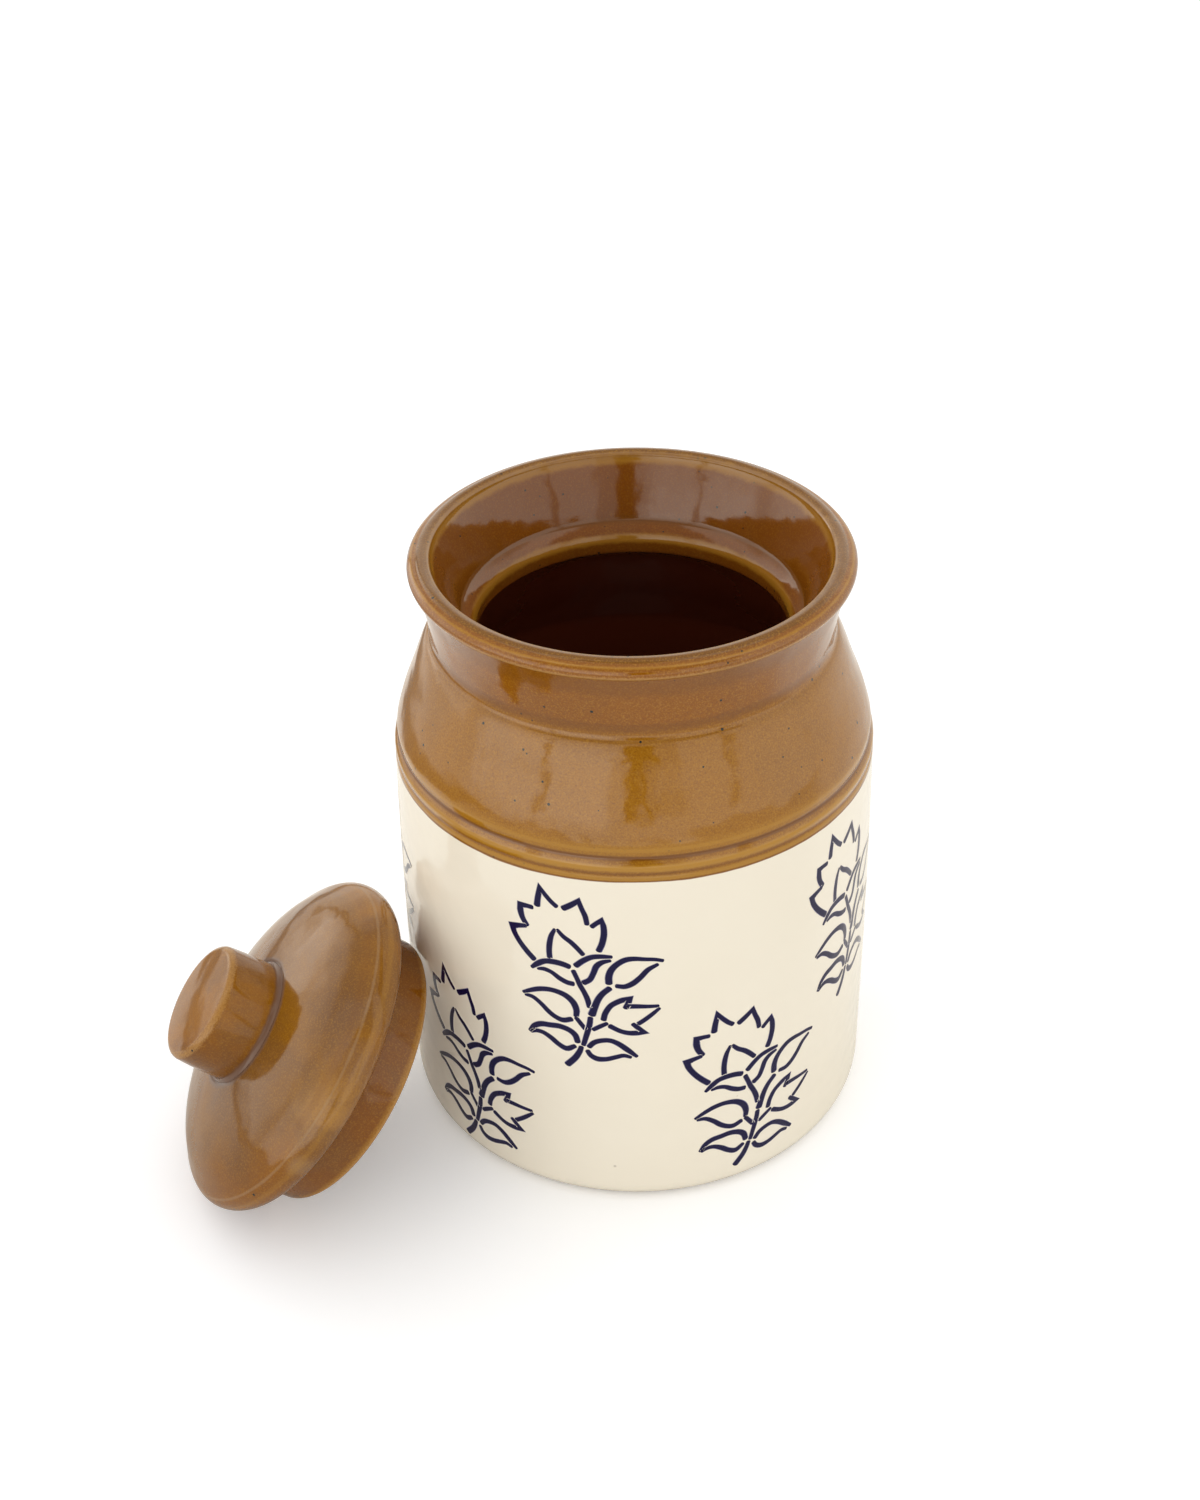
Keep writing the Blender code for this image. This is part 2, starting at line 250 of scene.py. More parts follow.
def rotation(name, description, degrees):
    """An angle that a user may change, given here in degrees."""
    return bpy.props.FloatProperty(
        name=name, description=description, default=math.radians(degrees), unit="ROTATION"
    )


def standing_place(name, description, default):
    """A place in metres that a user may change."""
    return bpy.props.FloatVectorProperty(
        name=name, description=description, default=default, subtype="XYZ", unit="LENGTH", precision=6
    )


def colour(name, description, default):
    """A linear colour that a user may change."""
    return bpy.props.FloatVectorProperty(
        name=name, description=description, default=default, subtype="COLOR", size=3, min=0.0, max=1.0
    )


class JarSizes(bpy.types.PropertyGroup):
    """Sizes of the jar, turned about the upright axis through the middle of its base."""

    body_radius: length("Body radius", "Radius of the upright wall", JAR_HIGH.x)
    height: length("Height", "Height of the jar from its base to the crown of its lip", JAR_HIGH.z)
    base_round: length("Base round", "Round of the edge under the wall", 0.0060)
    glaze_line: length("Glaze line", "Height where the cream glaze ends", 0.1076)
    wall_draw: length("Wall draw", "How much the wall draws in by the glaze line", 0.0011)
    band_height: length("Band height", "Height of the beaded band", 0.0078)
    groove_depth: length("Groove depth", "Depth of the groove over the bead", 0.0011)
    shoulder_width: length("Shoulder width", "How far the shoulder comes in", 0.0111)
    shoulder_rise: length("Shoulder rise", "Height of the round shoulder", 0.0249)
    neck_round: length("Neck round", "Length of the soft round where the collar meets the shoulder", 0.0027)
    neck_wall: length("Neck wall", "Thickness of the clay at the neck", 0.0079)
    seat_lift: length("Seat lift", "Height of the ledge's back over the neck", 0.0057)
    seat_width: length("Ledge width", "Width of the rounded ledge", 0.0036)
    seat_rise: length("Ledge rise", "Height of the rounded ledge", 0.0050)
    throat_land: length("Throat land", "Height of the throat under the ledge", 0.0032)
    throat_round: length("Throat round", "Round of the throat's lower edge", 0.0012)
    collar_flare: length("Collar flare", "How far the collar opens out inside", 0.0067)
    lip_width: length("Lip width", "Width of the rolled lip", 0.0057)
    lip_thickness: length("Lip thickness", "Thickness of the rolled lip", 0.0039)
    lip_crown: length("Lip crown", "Rise of the lip's top in the middle", 0.0003)
    lip_fall: length("Lip fall", "How much lower the lip's top is at its outer edge", 0.0005)
    lip_outer_round: length("Lip outer round", "Round of the lip's outer edge", 0.0021)
    lip_inner_round: length("Lip inner round", "Round of the lip's inner edge", 0.0011)
    wall_thickness: length("Wall thickness", "Thickness of the wall", 0.0053)
    floor_thickness: length("Floor thickness", "Thickness of the floor", 0.0070)
    floor_round: length("Floor round", "Round between the floor and the wall", 0.0080)


class LidSizes(bpy.types.PropertyGroup):
    """Sizes of the lid, whose zero is the centre of its rolled rim, and where it leans."""

    rim_radius: length("Rim radius", "Outer radius of the rolled rim", 0.0456)
    rim_roll: length("Rim roll", "Radius of the roll itself", 0.0055)
    dome_edge_width: length("Dome edge width", "How far inside the rim the dome ends", 0.0066)
    dome_edge_height: length("Dome edge height", "Height of the dome's edge over the rim's centre", 0.0077)
    dome_rise: length("Dome rise", "Height of the dome over the rim's centre", 0.0144)
    flange_radius: length("Flange radius", "Outer radius of the locating flange", 0.0366)
    flange_drop: length("Flange drop", "Depth of the flange under the rim's centre", 0.0176)
    flange_thickness: length("Flange thickness", "Thickness of the flange", 0.0050)
    flange_round: length("Flange round", "Round of the flange's edges", 0.0015)
    thickness: length("Thickness", "Thickness of the dome", 0.0052)
    centre: standing_place("Centre", "Where the centre of the rim is", (-0.090518, -0.041825, 0.038732))
    lean: rotation("Lean", "Angle of the lid's axis over the floor", 39.9)
    turn: rotation("Turn", "Bearing of the lid's axis", 189.3)


class KnobSizes(bpy.types.PropertyGroup):
    """Sizes of the knob, which stands on the lid's dome."""

    radius: length("Radius", "Widest radius of the knob", 0.0160)
    height: length("Height", "Height of the knob", 0.0144)
    taper: length("Taper", "How much narrower the knob is at its top", 0.0004)
    crown: length("Crown", "Rise of the knob's top", 0.0006)
    edge_round: length("Edge round", "Round of the top's edge", 0.0020)
    root_round: length("Root round", "Round of the glaze that fills the knob's root", 0.0009)
    groove_depth: length("Groove depth", "Depth of the groove round the foot", 0.0005)
    groove_width: length("Groove width", "Width of the groove round the foot", 0.0014)
    lute_gap: length("Lute gap", "Gap between the knob and the dome", 0.0003)


class GlazeLook(bpy.types.PropertyGroup):
    """Colours of the fired glazes and of the print."""

    amber: colour("Amber glaze", "Brown glaze of the shoulder", (0.332, 0.130, 0.005))
    collar_amber: colour("Collar glaze", "Brown glaze down the outside of the collar", (0.275, 0.087, 0.001))
    lip_amber: colour("Lip glaze", "Brown glaze on top of the lip", (0.188, 0.070, 0.003))
    mouth_amber: colour("Mouth glaze", "Deep amber glaze inside the collar", (0.205, 0.057, 0.003))
    lid_amber: colour("Lid glaze", "Brown glaze of the lid and knob", (0.250, 0.098, 0.006))
    knob_amber: colour("Knob glaze", "Brown glaze of the knob", (0.305, 0.111, 0.002))
    # Lighter than the lid's glaze: partly glaze run thin over the roll, partly painted light for the light
    # that falls on the rim from the right and above
    rim_amber: colour("Rim glaze", "Brown glaze of the lid's rolled rim", (0.325, 0.127, 0.003))
    # Painted shade: this darker brown stands for the shade under the lid's rim and on its low side
    shade_amber: colour("Flange glaze", "Brown glaze of the lid's flange and hollow", (0.205, 0.062, 0.001))
    golden: colour("Golden grain", "Fine golden grain in the brown glaze", (0.47, 0.225, 0.022))
    thin: colour("Thin glaze", "Brown glaze where it has run thin over an edge", (0.47, 0.245, 0.070))
    # Painted sheen: a pale colour that stands for the sheen and highlights the glaze reflects, on the lip's
    # inner edge, along the lid's rim and in smudges on the lid
    painted_sheen: colour("Painted sheen", "Mauve haze along edges and creases", (0.40, 0.255, 0.13))
    pooled: colour("Pooled glaze", "Brown glaze where it has pooled in a crease", (0.175, 0.058, 0.006))
    clouded: colour("Clouded glaze", "Purplish clouds in the brown glaze", (0.165, 0.068, 0.018))
    mauve: colour("Mauve glaze", "Glaze in the crease round the knob", (0.165, 0.100, 0.075))
    # Painted shade: the inside of the jar is painted much darker than its brown glaze, to stand for the
    # shade within it
    inside: colour("Inside glaze", "Brown glaze inside the jar, where it lies thick", (0.13, 0.026, 0.009))
    cream: colour("Cream glaze", "Cream glaze of the wall", (0.965, 0.885, 0.73))
    cream_deep: colour("Deep cream glaze", "Cream glaze where it is thicker", (0.935, 0.845, 0.675))
    clay: colour("Bare clay", "Fired clay under the base, where no glaze is", (0.62, 0.52, 0.40))
    ink: colour("Print", "Blue of the printed sprigs", (0.006, 0.004, 0.044))
    ink_edge: colour("Print edge", "Blue where the print bleeds into the glaze", (0.060, 0.055, 0.23))
    iron: colour("Iron specks", "Dark specks in the glaze", (0.012, 0.016, 0.012))


class StudioLook(bpy.types.PropertyGroup):
    """The floor, the light and the camera."""

    floor_size: length("Floor size", "Side of the floor", 1.8)
    light: bpy.props.FloatProperty(name="Light", description="Strength of all the light", default=1.0)
    camera_place: standing_place("Camera place", "Where the camera stands", (0.0, -0.43286, 0.40720))
    camera_pitch: rotation("Camera pitch", "How far the camera looks down", 35.21)
    camera_yaw: rotation("Camera yaw", "How far the camera looks aside", -1.168)
    camera_roll: rotation("Camera roll", "How far the camera leans", -1.329)
    focal_length: bpy.props.FloatProperty(
        name="Focal length",
        description="Focal length of the lens, in millimetres",
        default=48.896,
        unit="CAMERA",
    )


# Outlines

# Points of the shoulder between its foot and the neck, as shares (outwards, upwards)
SHOULDER_SHARES = ((0.97, 0.06), (0.81, 0.27), (0.56, 0.53), (0.34, 0.77), (0.19, 0.91), (0.09, 0.975))
# How high in the beaded band its lower crease, its bead and its groove are, and how deep the crease is
FOOT_CREASE_SHARE = 0.19
FOOT_CREASE_DEPTH = 0.25
BEAD_SHARE = 0.40
GROOVE_SHARE = 0.71
# Points of the band, as shares (up its height, inwards by the depth of its groove)
BAND_SHARES = (
    (0.0, 0.0),
    (0.05, 0.04),
    (FOOT_CREASE_SHARE, FOOT_CREASE_DEPTH),
    (BEAD_SHARE, 0.07),
    (0.56, 0.45),
    (GROOVE_SHARE, 1.0),
    (0.84, 0.93),
    (1.0, 0.9),
)
# Where the wall starts to draw in and where its curve is pulled, as shares of the glaze line's height
WALL_BEND_SHARES = (0.29, 0.61)
# Where the other curves are pulled, as shares (across, up) of the way from their start to their end
COLLAR_SHARES = (0.27, 0.56)
FLARE_SHARES = (0.42, 0.52)
SEAT_SHARES = (0.0, 0.49)
DOME_SHARES = (0.70, 0.39)
DOME_EDGE_SHARES = (0.5, 0.56)
# Where the lid's hollow is pulled and where it starts, as shares of its own radius and height
HOLLOW_SHARES = (0.84, 0.95)
HOLLOW_START_SHARE = 0.04
# How far down the groove round the knob its glaze reaches
ROOT_DEPTH_SHARE = 0.7
# Where the rolled rim starts and ends and where the lip's outer round ends, in degrees
ROLL_ANGLES = (66, -80)
LIP_END_ANGLE = -25

# How finely the outlines are divided, in metres and in steps for each curve
LONGEST_STEP = 0.0022
CORNER_STEPS = 8
CURVE_STEPS = 16
SHOULDER_STEPS = 5
BAND_STEPS = 6
# Lengths over which the rim is softened and within which an edge or a crease counts as one
RIM_SOFTENING = 0.0032
RELIEF_REACH = 0.002
# How the smoothing divides its reach, how many such steps it looks each way, and what share of the reach
# an edge stands out where its relief is full
STEPS_PER_REACH = 8
SMOOTHING_SPAN = 24
FULL_RELIEF_SHARE = 0.25
SHORTEST_TANGENT = 1e-12
# Points nearer to each other than this become one, and how far the throwing wanders in and out
MERGE_DISTANCE = 0.000005
UNEVENNESS = 0.00012


def arc(centre, radius, start, end, steps=CORNER_STEPS):
    """Points on a round corner, from one angle to another in degrees."""
    angles = np.radians(np.linspace(start, end, steps + 1))
    return [(centre[0] + radius * math.cos(a), centre[1] + radius * math.sin(a)) for a in angles]


def bend(start, pull, end, steps=CURVE_STEPS):
    """Points on a curve that leaves its start towards the pull and reaches its end from it."""
    line = []
    for t in np.linspace(0.0, 1.0, steps + 1):
        weights = ((1 - t) ** 2, 2 * t * (1 - t), t * t)
        line.append(tuple(sum(w * p[i] for w, p in zip(weights, (start, pull, end))) for i in (0, 1)))
    return line


def between(start, end, across, up):
    """The point at these shares of the way from start to end."""
    return (start[0] + (end[0] - start[0]) * across, start[1] + (end[1] - start[1]) * up)


def through(points, steps):
    """A smooth line through every one of the points, in two or three dimensions."""
    ends = [np.array(point, float) for point in points]
    ends = [2 * ends[0] - ends[1], *ends, 2 * ends[-1] - ends[-2]]
    line = []
    for before, start, end, after in zip(ends, ends[1:], ends[2:], ends[3:]):
        for t in np.arange(steps) / steps:
            place = 2 * start + (end - before) * t
            place = place + (2 * before - 5 * start + 4 * end - after) * t**2
            place = place + (3 * start - before - 3 * end + after) * t**3
            line.append(tuple(place / 2))
    return [*line, tuple(ends[-2])]


def shoulder(outer, inner):
    """The shoulder's round from its outer, lower end to its inner, upper end."""
    middle = [between(inner, outer, out, 1 - up) for out, up in SHOULDER_SHARES]
    return through([outer, *middle, inner], SHOULDER_STEPS)


def joined(*stretches):
    """One outline from stretches whose ends meet, with long straight runs divided."""
    outline = []
    for stretch in stretches:
        for point in stretch:
            if not outline:
                outline.append(point)
                continue
            gap = math.dist(outline[-1], point)
            if gap <= MERGE_DISTANCE:
                continue
            start, steps = outline[-1], math.ceil(gap / LONGEST_STEP)
            outline += [between(start, point, step / steps, step / steps) for step in range(1, steps + 1)]
    return outline


def jar_outline(jar):
    """The jar's outline from the middle of its floor, over the lip, to the middle of its base."""
    wall_top = jar.body_radius - jar.wall_draw
    neck = (wall_top - jar.shoulder_width, jar.glaze_line + jar.band_height + jar.shoulder_rise)
    seat = (neck[0] - jar.neck_wall, neck[1] + jar.seat_lift)
    throat = seat[0] - jar.seat_width
    throat_top = seat[1] - jar.seat_rise
    throat_bottom = throat_top - jar.throat_land
    edge = throat + jar.throat_round
    throat_edge = (throat, throat_top)
    collar_foot = (neck[0], neck[1] + jar.neck_round)
    lip_base = jar.height - jar.lip_crown
    mouth = (seat[0] + jar.collar_flare, lip_base - jar.lip_inner_round)
    lip_radius = mouth[0] + jar.lip_width
    inner_radius = jar.body_radius - jar.wall_thickness
    floor_centre = (inner_radius - jar.floor_round, jar.floor_thickness + jar.floor_round)
    shoulder_start = (wall_top - jar.wall_thickness, jar.glaze_line)
    lip_inner = (mouth[0] + jar.lip_inner_round, mouth[1])
    lip_edge = lip_base - jar.lip_fall
    lip_outer = (lip_radius - jar.lip_outer_round, lip_edge - jar.lip_outer_round)
    crown = ((lip_inner[0] + lip_outer[0]) / 2, jar.height + jar.lip_crown)
    lip_foot = (lip_radius - jar.lip_outer_round / 2, jar.height - jar.lip_thickness)
    band = [
        (wall_top - jar.groove_depth * inward, jar.glaze_line + jar.band_height * up)
        for up, inward in BAND_SHARES
    ]
    slope = shoulder(band[-1], neck)[:-SHOULDER_STEPS]
    straight_top = (jar.body_radius, jar.glaze_line * WALL_BEND_SHARES[0])
    wall_pull = (jar.body_radius, jar.glaze_line * WALL_BEND_SHARES[1])
    return joined(
        [(0.0, jar.floor_thickness)],
        arc(floor_centre, jar.floor_round, 270, 360),
        shoulder(shoulder_start, (edge, throat_bottom)),
        arc((edge, throat_bottom + jar.throat_round), jar.throat_round, 270, 180),
        bend(throat_edge, between(throat_edge, seat, *SEAT_SHARES), seat),
        bend(seat, between(seat, mouth, *FLARE_SHARES), mouth),
        arc(lip_inner, jar.lip_inner_round, 180, 90),
        bend((lip_inner[0], lip_base), crown, (lip_outer[0], lip_edge), CORNER_STEPS),
        arc(lip_outer, jar.lip_outer_round, 90, LIP_END_ANGLE),
        bend(lip_foot, between(collar_foot, lip_foot, *COLLAR_SHARES), collar_foot),
        bend(collar_foot, neck, slope[-1], CORNER_STEPS),
        reversed(slope),
        reversed(through(band, BAND_STEPS)),
        bend(band[0], wall_pull, straight_top),
        arc((jar.body_radius - jar.base_round, jar.base_round), jar.base_round, 0, -90),
        [(0.0, 0.0)],
    )


def lid_outline(lid, knob):
    """The lid's outline from the middle of its top, round the rolled rim and the flange, to its hollow."""
    groove_start = (knob.radius - knob.groove_width / 2, lid.dome_rise)
    groove_end = (knob.radius + knob.groove_width, lid.dome_rise - knob.groove_depth / 2)
    groove_foot = (knob.radius + knob.groove_width / 3, lid.dome_rise - knob.groove_depth)
    roll = arc((lid.rim_radius - lid.rim_roll, 0.0), lid.rim_roll, *ROLL_ANGLES, 2 * CORNER_STEPS)
    dome_end = (lid.rim_radius - lid.dome_edge_width, lid.dome_edge_height)
    top = joined(
        bend(groove_end, between(groove_end, dome_end, *DOME_SHARES), dome_end),
        bend(dome_end, between(dome_end, roll[0], *DOME_EDGE_SHARES), roll[0], CORNER_STEPS),
        roll,
    )
    roll_foot = lid.rim_roll * math.sin(math.radians(ROLL_ANGLES[1]))
    corner = (lid.flange_radius + lid.flange_round, roll_foot - lid.flange_round)
    outer_end = (lid.flange_radius - lid.flange_round, lid.flange_round - lid.flange_drop)
    inner_radius = lid.flange_radius - lid.flange_thickness
    inner_end = (inner_radius + lid.flange_round, lid.flange_round - lid.flange_drop)
    hollow_top = (0.0, lid.dome_rise - lid.thickness)
    hollow_start = (inner_radius, hollow_top[1] * HOLLOW_START_SHARE)
    hollow_pull = (inner_radius * HOLLOW_SHARES[0], hollow_top[1] * HOLLOW_SHARES[1])
    return joined(
        [(0.0, lid.dome_rise), groove_start],
        bend(groove_start, groove_foot, groove_end, CORNER_STEPS),
        softened(top, RIM_SOFTENING),
        arc(corner, lid.flange_round, 90, 180),
        arc(outer_end, lid.flange_round, 0, -90),
        arc(inner_end, lid.flange_round, 270, 180),
        bend(hollow_start, hollow_pull, hollow_top),
    )


def knob_side(lid, knob):
    """The knob's glazed outline from the middle of its crowned top to the filled root at the dome."""
    top = lid.dome_rise + knob.lute_gap + knob.height
    top_radius = knob.radius - knob.taper
    edge_centre = (top_radius - knob.edge_round, top - knob.crown - knob.edge_round)
    edge_top = (edge_centre[0], edge_centre[1] + knob.edge_round)
    side_end = (knob.radius, lid.dome_rise + knob.root_round)
    root = (knob.radius + knob.root_round, lid.dome_rise - knob.groove_depth * ROOT_DEPTH_SHARE)
    return joined(
        bend((0.0, top), (edge_top[0] / 2, top), edge_top),
        arc(edge_centre, knob.edge_round, 90, 0),
        bend((top_radius, edge_centre[1]), (knob.radius, (top + lid.dome_rise) / 2), side_end),
        bend(side_end, (knob.radius, lid.dome_rise), root, CORNER_STEPS),
    )


def knob_outline(lid, knob):
    """The whole outline of the knob, closed under its foot."""
    foot = lid.dome_rise + knob.lute_gap
    return joined(knob_side(lid, knob), [(knob.radius - knob.groove_width, foot), (0.0, foot)])


def even_and_smooth(outline, reach):
    """The outline at even steps, and the same smoothed over the reach, with the way along both."""
    points = np.array(outline)
    steps = np.linalg.norm(np.diff(points, axis=0), axis=1)
    along = np.concatenate([[0.0], np.cumsum(steps)])
    count = max(2, round(along[-1] / reach * STEPS_PER_REACH))
    even = np.linspace(0.0, along[-1], count + 1)
    line = np.stack([np.interp(even, along, points[:, i]) for i in (0, 1)], axis=1)
    span = np.arange(-SMOOTHING_SPAN, SMOOTHING_SPAN + 1) * even[1]
    weights = np.exp(-(span**2) / (2 * (reach / 2) ** 2))
    weights /= weights.sum()
    ends = ((SMOOTHING_SPAN, SMOOTHING_SPAN), (0, 0))
    padded = np.pad(line, ends, mode="reflect", reflect_type="odd")
    smooth = np.stack([np.convolve(padded[:, i], weights, mode="valid") for i in (0, 1)], axis=1)
    return along, even, line, smooth


def softened(outline, reach):
    """The outline with its corners softened over the reach and its ends kept."""
    smooth = even_and_smooth(outline, reach)[-1]
    return [tuple(point) for point in smooth]


def relief_along(outline, reach):
    """How raised (+1) or sunk (-1) each point of an outline is against the outline within its reach."""
    along, even, line, smooth = even_and_smooth(outline, reach)
    tangent = np.gradient(smooth, axis=0)
    outward = np.stack([-tangent[:, 1], tangent[:, 0]], axis=1)
    outward /= np.maximum(np.linalg.norm(outward, axis=1, keepdims=True), SHORTEST_TANGENT)
    offset = ((line - smooth) * outward).sum(axis=1)
    return np.interp(along, even, offset / (reach * FULL_RELIEF_SHARE))


def relief_of_lid(lid, knob, reach):
    """Relief along the knob's outline and the lid's, which the glaze covers as one surface."""
    side, whole, cover = knob_side(lid, knob), knob_outline(lid, knob), lid_outline(lid, knob)
    shown = next(i for i, point in enumerate(cover) if point[0] > side[-1][0])
    relief = relief_along([*side, *cover[shown:]], reach)
    on_knob = np.concatenate([relief[: len(side)], np.zeros(len(whole) - len(side))])
    on_lid = np.concatenate([np.full(shown, relief[len(side)]), relief[len(side) :]])
    return on_knob, on_lid


# Node building

# Blender's noise swings about this value
NOISE_MIDDLE = 0.5
# Which inputs of a Mix node take its factor and its two values, and which output gives the result
MIX_SOCKETS = {"RGBA": (0, 6, 7, 2), "FLOAT": (0, 2, 3, 0)}
# Vector operations that give one number
NUMBER_FROM_VECTORS = ("LENGTH", "DOT_PRODUCT", "DISTANCE")


class Tree:
    """Adds nodes to a node tree and joins them, so that a tree reads as a list of steps."""

    def __init__(self, tree):
        self.tree = tree

    def add(self, kind, *inputs, **options):
        """A node with its options set and its inputs joined or given, in the order of its sockets."""
        node = self.tree.nodes.new(kind)
        for name, value in options.items():
            setattr(node, name, value)
        for place, value in enumerate(inputs):
            self.feed(node, place, value)
        return node

    def feed(self, node, place, value):
        """Joins or sets one input of a node, found by its place or its name."""
        socket = node.inputs[place]
        if isinstance(value, bpy.types.Node):
            value = value.outputs[0]
        if isinstance(value, bpy.types.NodeSocket):
            self.tree.links.new(value, socket)
        else:
            socket.default_value = value

    def math(self, operation, *inputs):
        """One step of arithmetic on numbers."""
        return self.add("ShaderNodeMath", *inputs, operation=operation).outputs[0]

    def plus(self, first, second):
        """The sum of two numbers."""
        return self.math("ADD", first, second)

    def minus(self, first, second):
        """The first number less the second."""
        return self.math("SUBTRACT", first, second)

    def times(self, first, second):
        """The product of two numbers."""
        return self.math("MULTIPLY", first, second)

    def vector(self, operation, *inputs):
        """One step of arithmetic on vectors."""
        node = self.add("ShaderNodeVectorMath", *inputs, operation=operation)
        return node.outputs["Value" if operation in NUMBER_FROM_VECTORS else "Vector"]

    def scaled(self, vector, amount):
        """A vector made longer or shorter by a number."""
        node = self.add("ShaderNodeVectorMath", vector, operation="SCALE")
        self.feed(node, "Scale", amount)
        return node.outputs[0]

    def smooth_step(self, value, low, high):
        """0 below low, 1 above high, smooth between. Where low is the higher one, it falls instead."""
        node = self.add("ShaderNodeMapRange", value, low, high, 0.0, 1.0, interpolation_type="SMOOTHSTEP")
        return node.outputs[0]

    def change_at(self, value, mark, change):
        """A smooth step whose two ends are given as distances from a mark."""
        return self.smooth_step(value, mark + change[0], mark + change[1])

    def plateau(self, value, begins, full, still_full, ends):
        """0 before it begins, 1 while it is full and 0 after it ends, smooth between."""
        return self.times(self.smooth_step(value, begins, full), self.smooth_step(value, ends, still_full))

    def mix(self, factor, first, second, kind="RGBA"):
        """A colour, or a value of another kind, between the first and the second."""
        node = self.add("ShaderNodeMix", data_type=kind)
        *places, result = MIX_SOCKETS[kind]
        for place, value in zip(places, (factor, first, second)):
            self.feed(node, place, value)
        return node.outputs[result]

    def noise(self, place, scale, detail=2.0, roughness=0.5, distortion=0.0):
        """Noise in three dimensions, which swings about NOISE_MIDDLE."""
        node = self.add("ShaderNodeTexNoise")
        names = ("Vector", "Scale", "Detail", "Roughness", "Distortion")
        for name, value in zip(names, (place, scale, detail, roughness, distortion)):
            self.feed(node, name, value)
        return node.outputs[0]

    def stored(self, shape, name, kind, value):
        """The shape with a value kept on its points under a name."""
        node = self.add("GeometryNodeStoreNamedAttribute", shape, data_type=kind, domain="POINT")
        self.feed(node, "Name", name)
        self.feed(node, "Value", value)
        return node

    def finished(self, shape, material):
        """The shape as plain geometry that carries its material."""
        node = self.add("GeometryNodeSetMaterial", self.add("GeometryNodeRealizeInstances", shape))
        self.feed(node, "Material", material)
        return node.outputs[0]


def new_group(name, kind, inputs, outputs):
    """A node group from its sockets, each (name, kind, default or None), and what it is given and gives."""
    tree = bpy.data.node_groups.new(name, kind)
    for direction, sockets in (("INPUT", inputs), ("OUTPUT", outputs)):
        for socket_name, socket_kind, default in sockets:
            socket = tree.interface.new_socket(socket_name, in_out=direction, socket_type=socket_kind)
            if default is not None:
                socket.default_value = default
    given = tree.nodes.new("NodeGroupInput").outputs
    gives = tree.nodes.new("NodeGroupOutput").inputs
    return Tree(tree), given, gives


def rgba(triple):
    """A colour with its alpha, as sockets take it."""
    return (*triple, 1.0)


# Geometry trees

# How far from the axis the unevenness of the throwing comes in, in metres
EVEN_CENTRE = 0.01


def turning_tree():
    """Turns an outline about its own axis, a little unevenly, and stands the result in its place."""
    t, given, gives = new_group(
        "turned_pottery",
        "GeometryNodeTree",
        (
            ("Outline", "NodeSocketGeometry", None),
            ("Sides", "NodeSocketInt", 240),
            ("Unevenness", "NodeSocketFloat", 0.0001),
            ("Unevenness Scale", "NodeSocketFloat", 30.0),
            ("Place", "NodeSocketVector", None),
            ("Turn", "NodeSocketRotation", None),
            ("Finish", "NodeSocketMaterial", None),
        ),
        (("Piece", "NodeSocketGeometry", None),),
    )
    count = t.add("GeometryNodeAttributeDomainSize", given["Outline"]).outputs["Point Count"]
    columns = t.plus(given["Sides"], 1.0)
    grid = t.add("GeometryNodeMeshGrid", 1.0, 1.0, count, columns)
    index = t.add("GeometryNodeInputIndex")
    row = t.math("FLOOR", t.math("DIVIDE", t.plus(index, 0.5), columns))
    column = t.minus(index, t.times(row, columns))
    angle = t.times(column, t.math("DIVIDE", math.tau, given["Sides"]))
    across = t.math("COSINE", angle)
    forth = t.math("SINE", angle)

    def from_outline(kind, value):
        """What the outline's point for this row holds."""
        sample = t.add("GeometryNodeSampleIndex", given["Outline"], data_type=kind, clamp=True)
        t.feed(sample, "Value", value)
        t.feed(sample, "Index", row)
        return sample.outputs[0]

    def at_distance(distance):
        """The place at this distance from the axis, at the angle of this column."""
        aside = t.times(distance, across)
        deep = t.times(distance, forth)
        return t.add("ShaderNodeCombineXYZ", aside, deep, height).outputs[0]

    parts = t.add("ShaderNodeSeparateXYZ", from_outline("FLOAT_VECTOR", t.add("GeometryNodeInputPosition")))
    radius, height = parts.outputs[0], parts.outputs[2]
    relief = from_outline("FLOAT", t.add("GeometryNodeInputNamedAttribute", "relief", data_type="FLOAT"))
    wander = t.minus(t.noise(at_distance(radius), given["Unevenness Scale"], detail=1.0), NOISE_MIDDLE)
    near_axis = t.math("DIVIDE", radius, t.plus(radius, EVEN_CENTRE))
    thrown = t.plus(radius, t.times(t.times(wander, given["Unevenness"]), near_axis))
    place = at_distance(thrown)
    shaped = t.add("GeometryNodeSetPosition", grid)
    t.feed(shaped, "Position", place)
    shaped = t.stored(shaped, "own_place", "FLOAT_VECTOR", place)
    shaped = t.stored(shaped, "relief", "FLOAT", relief)
    closed = t.add("GeometryNodeMergeByDistance", shaped)
    t.feed(closed, "Distance", MERGE_DISTANCE)
    standing = t.add("GeometryNodeTransform", t.add("GeometryNodeSetShadeSmooth", closed))
    t.feed(standing, "Translation", given["Place"])
    t.feed(standing, "Rotation", given["Turn"])
    t.tree.links.new(t.finished(standing, given["Finish"]), gives["Piece"])
    return t.tree


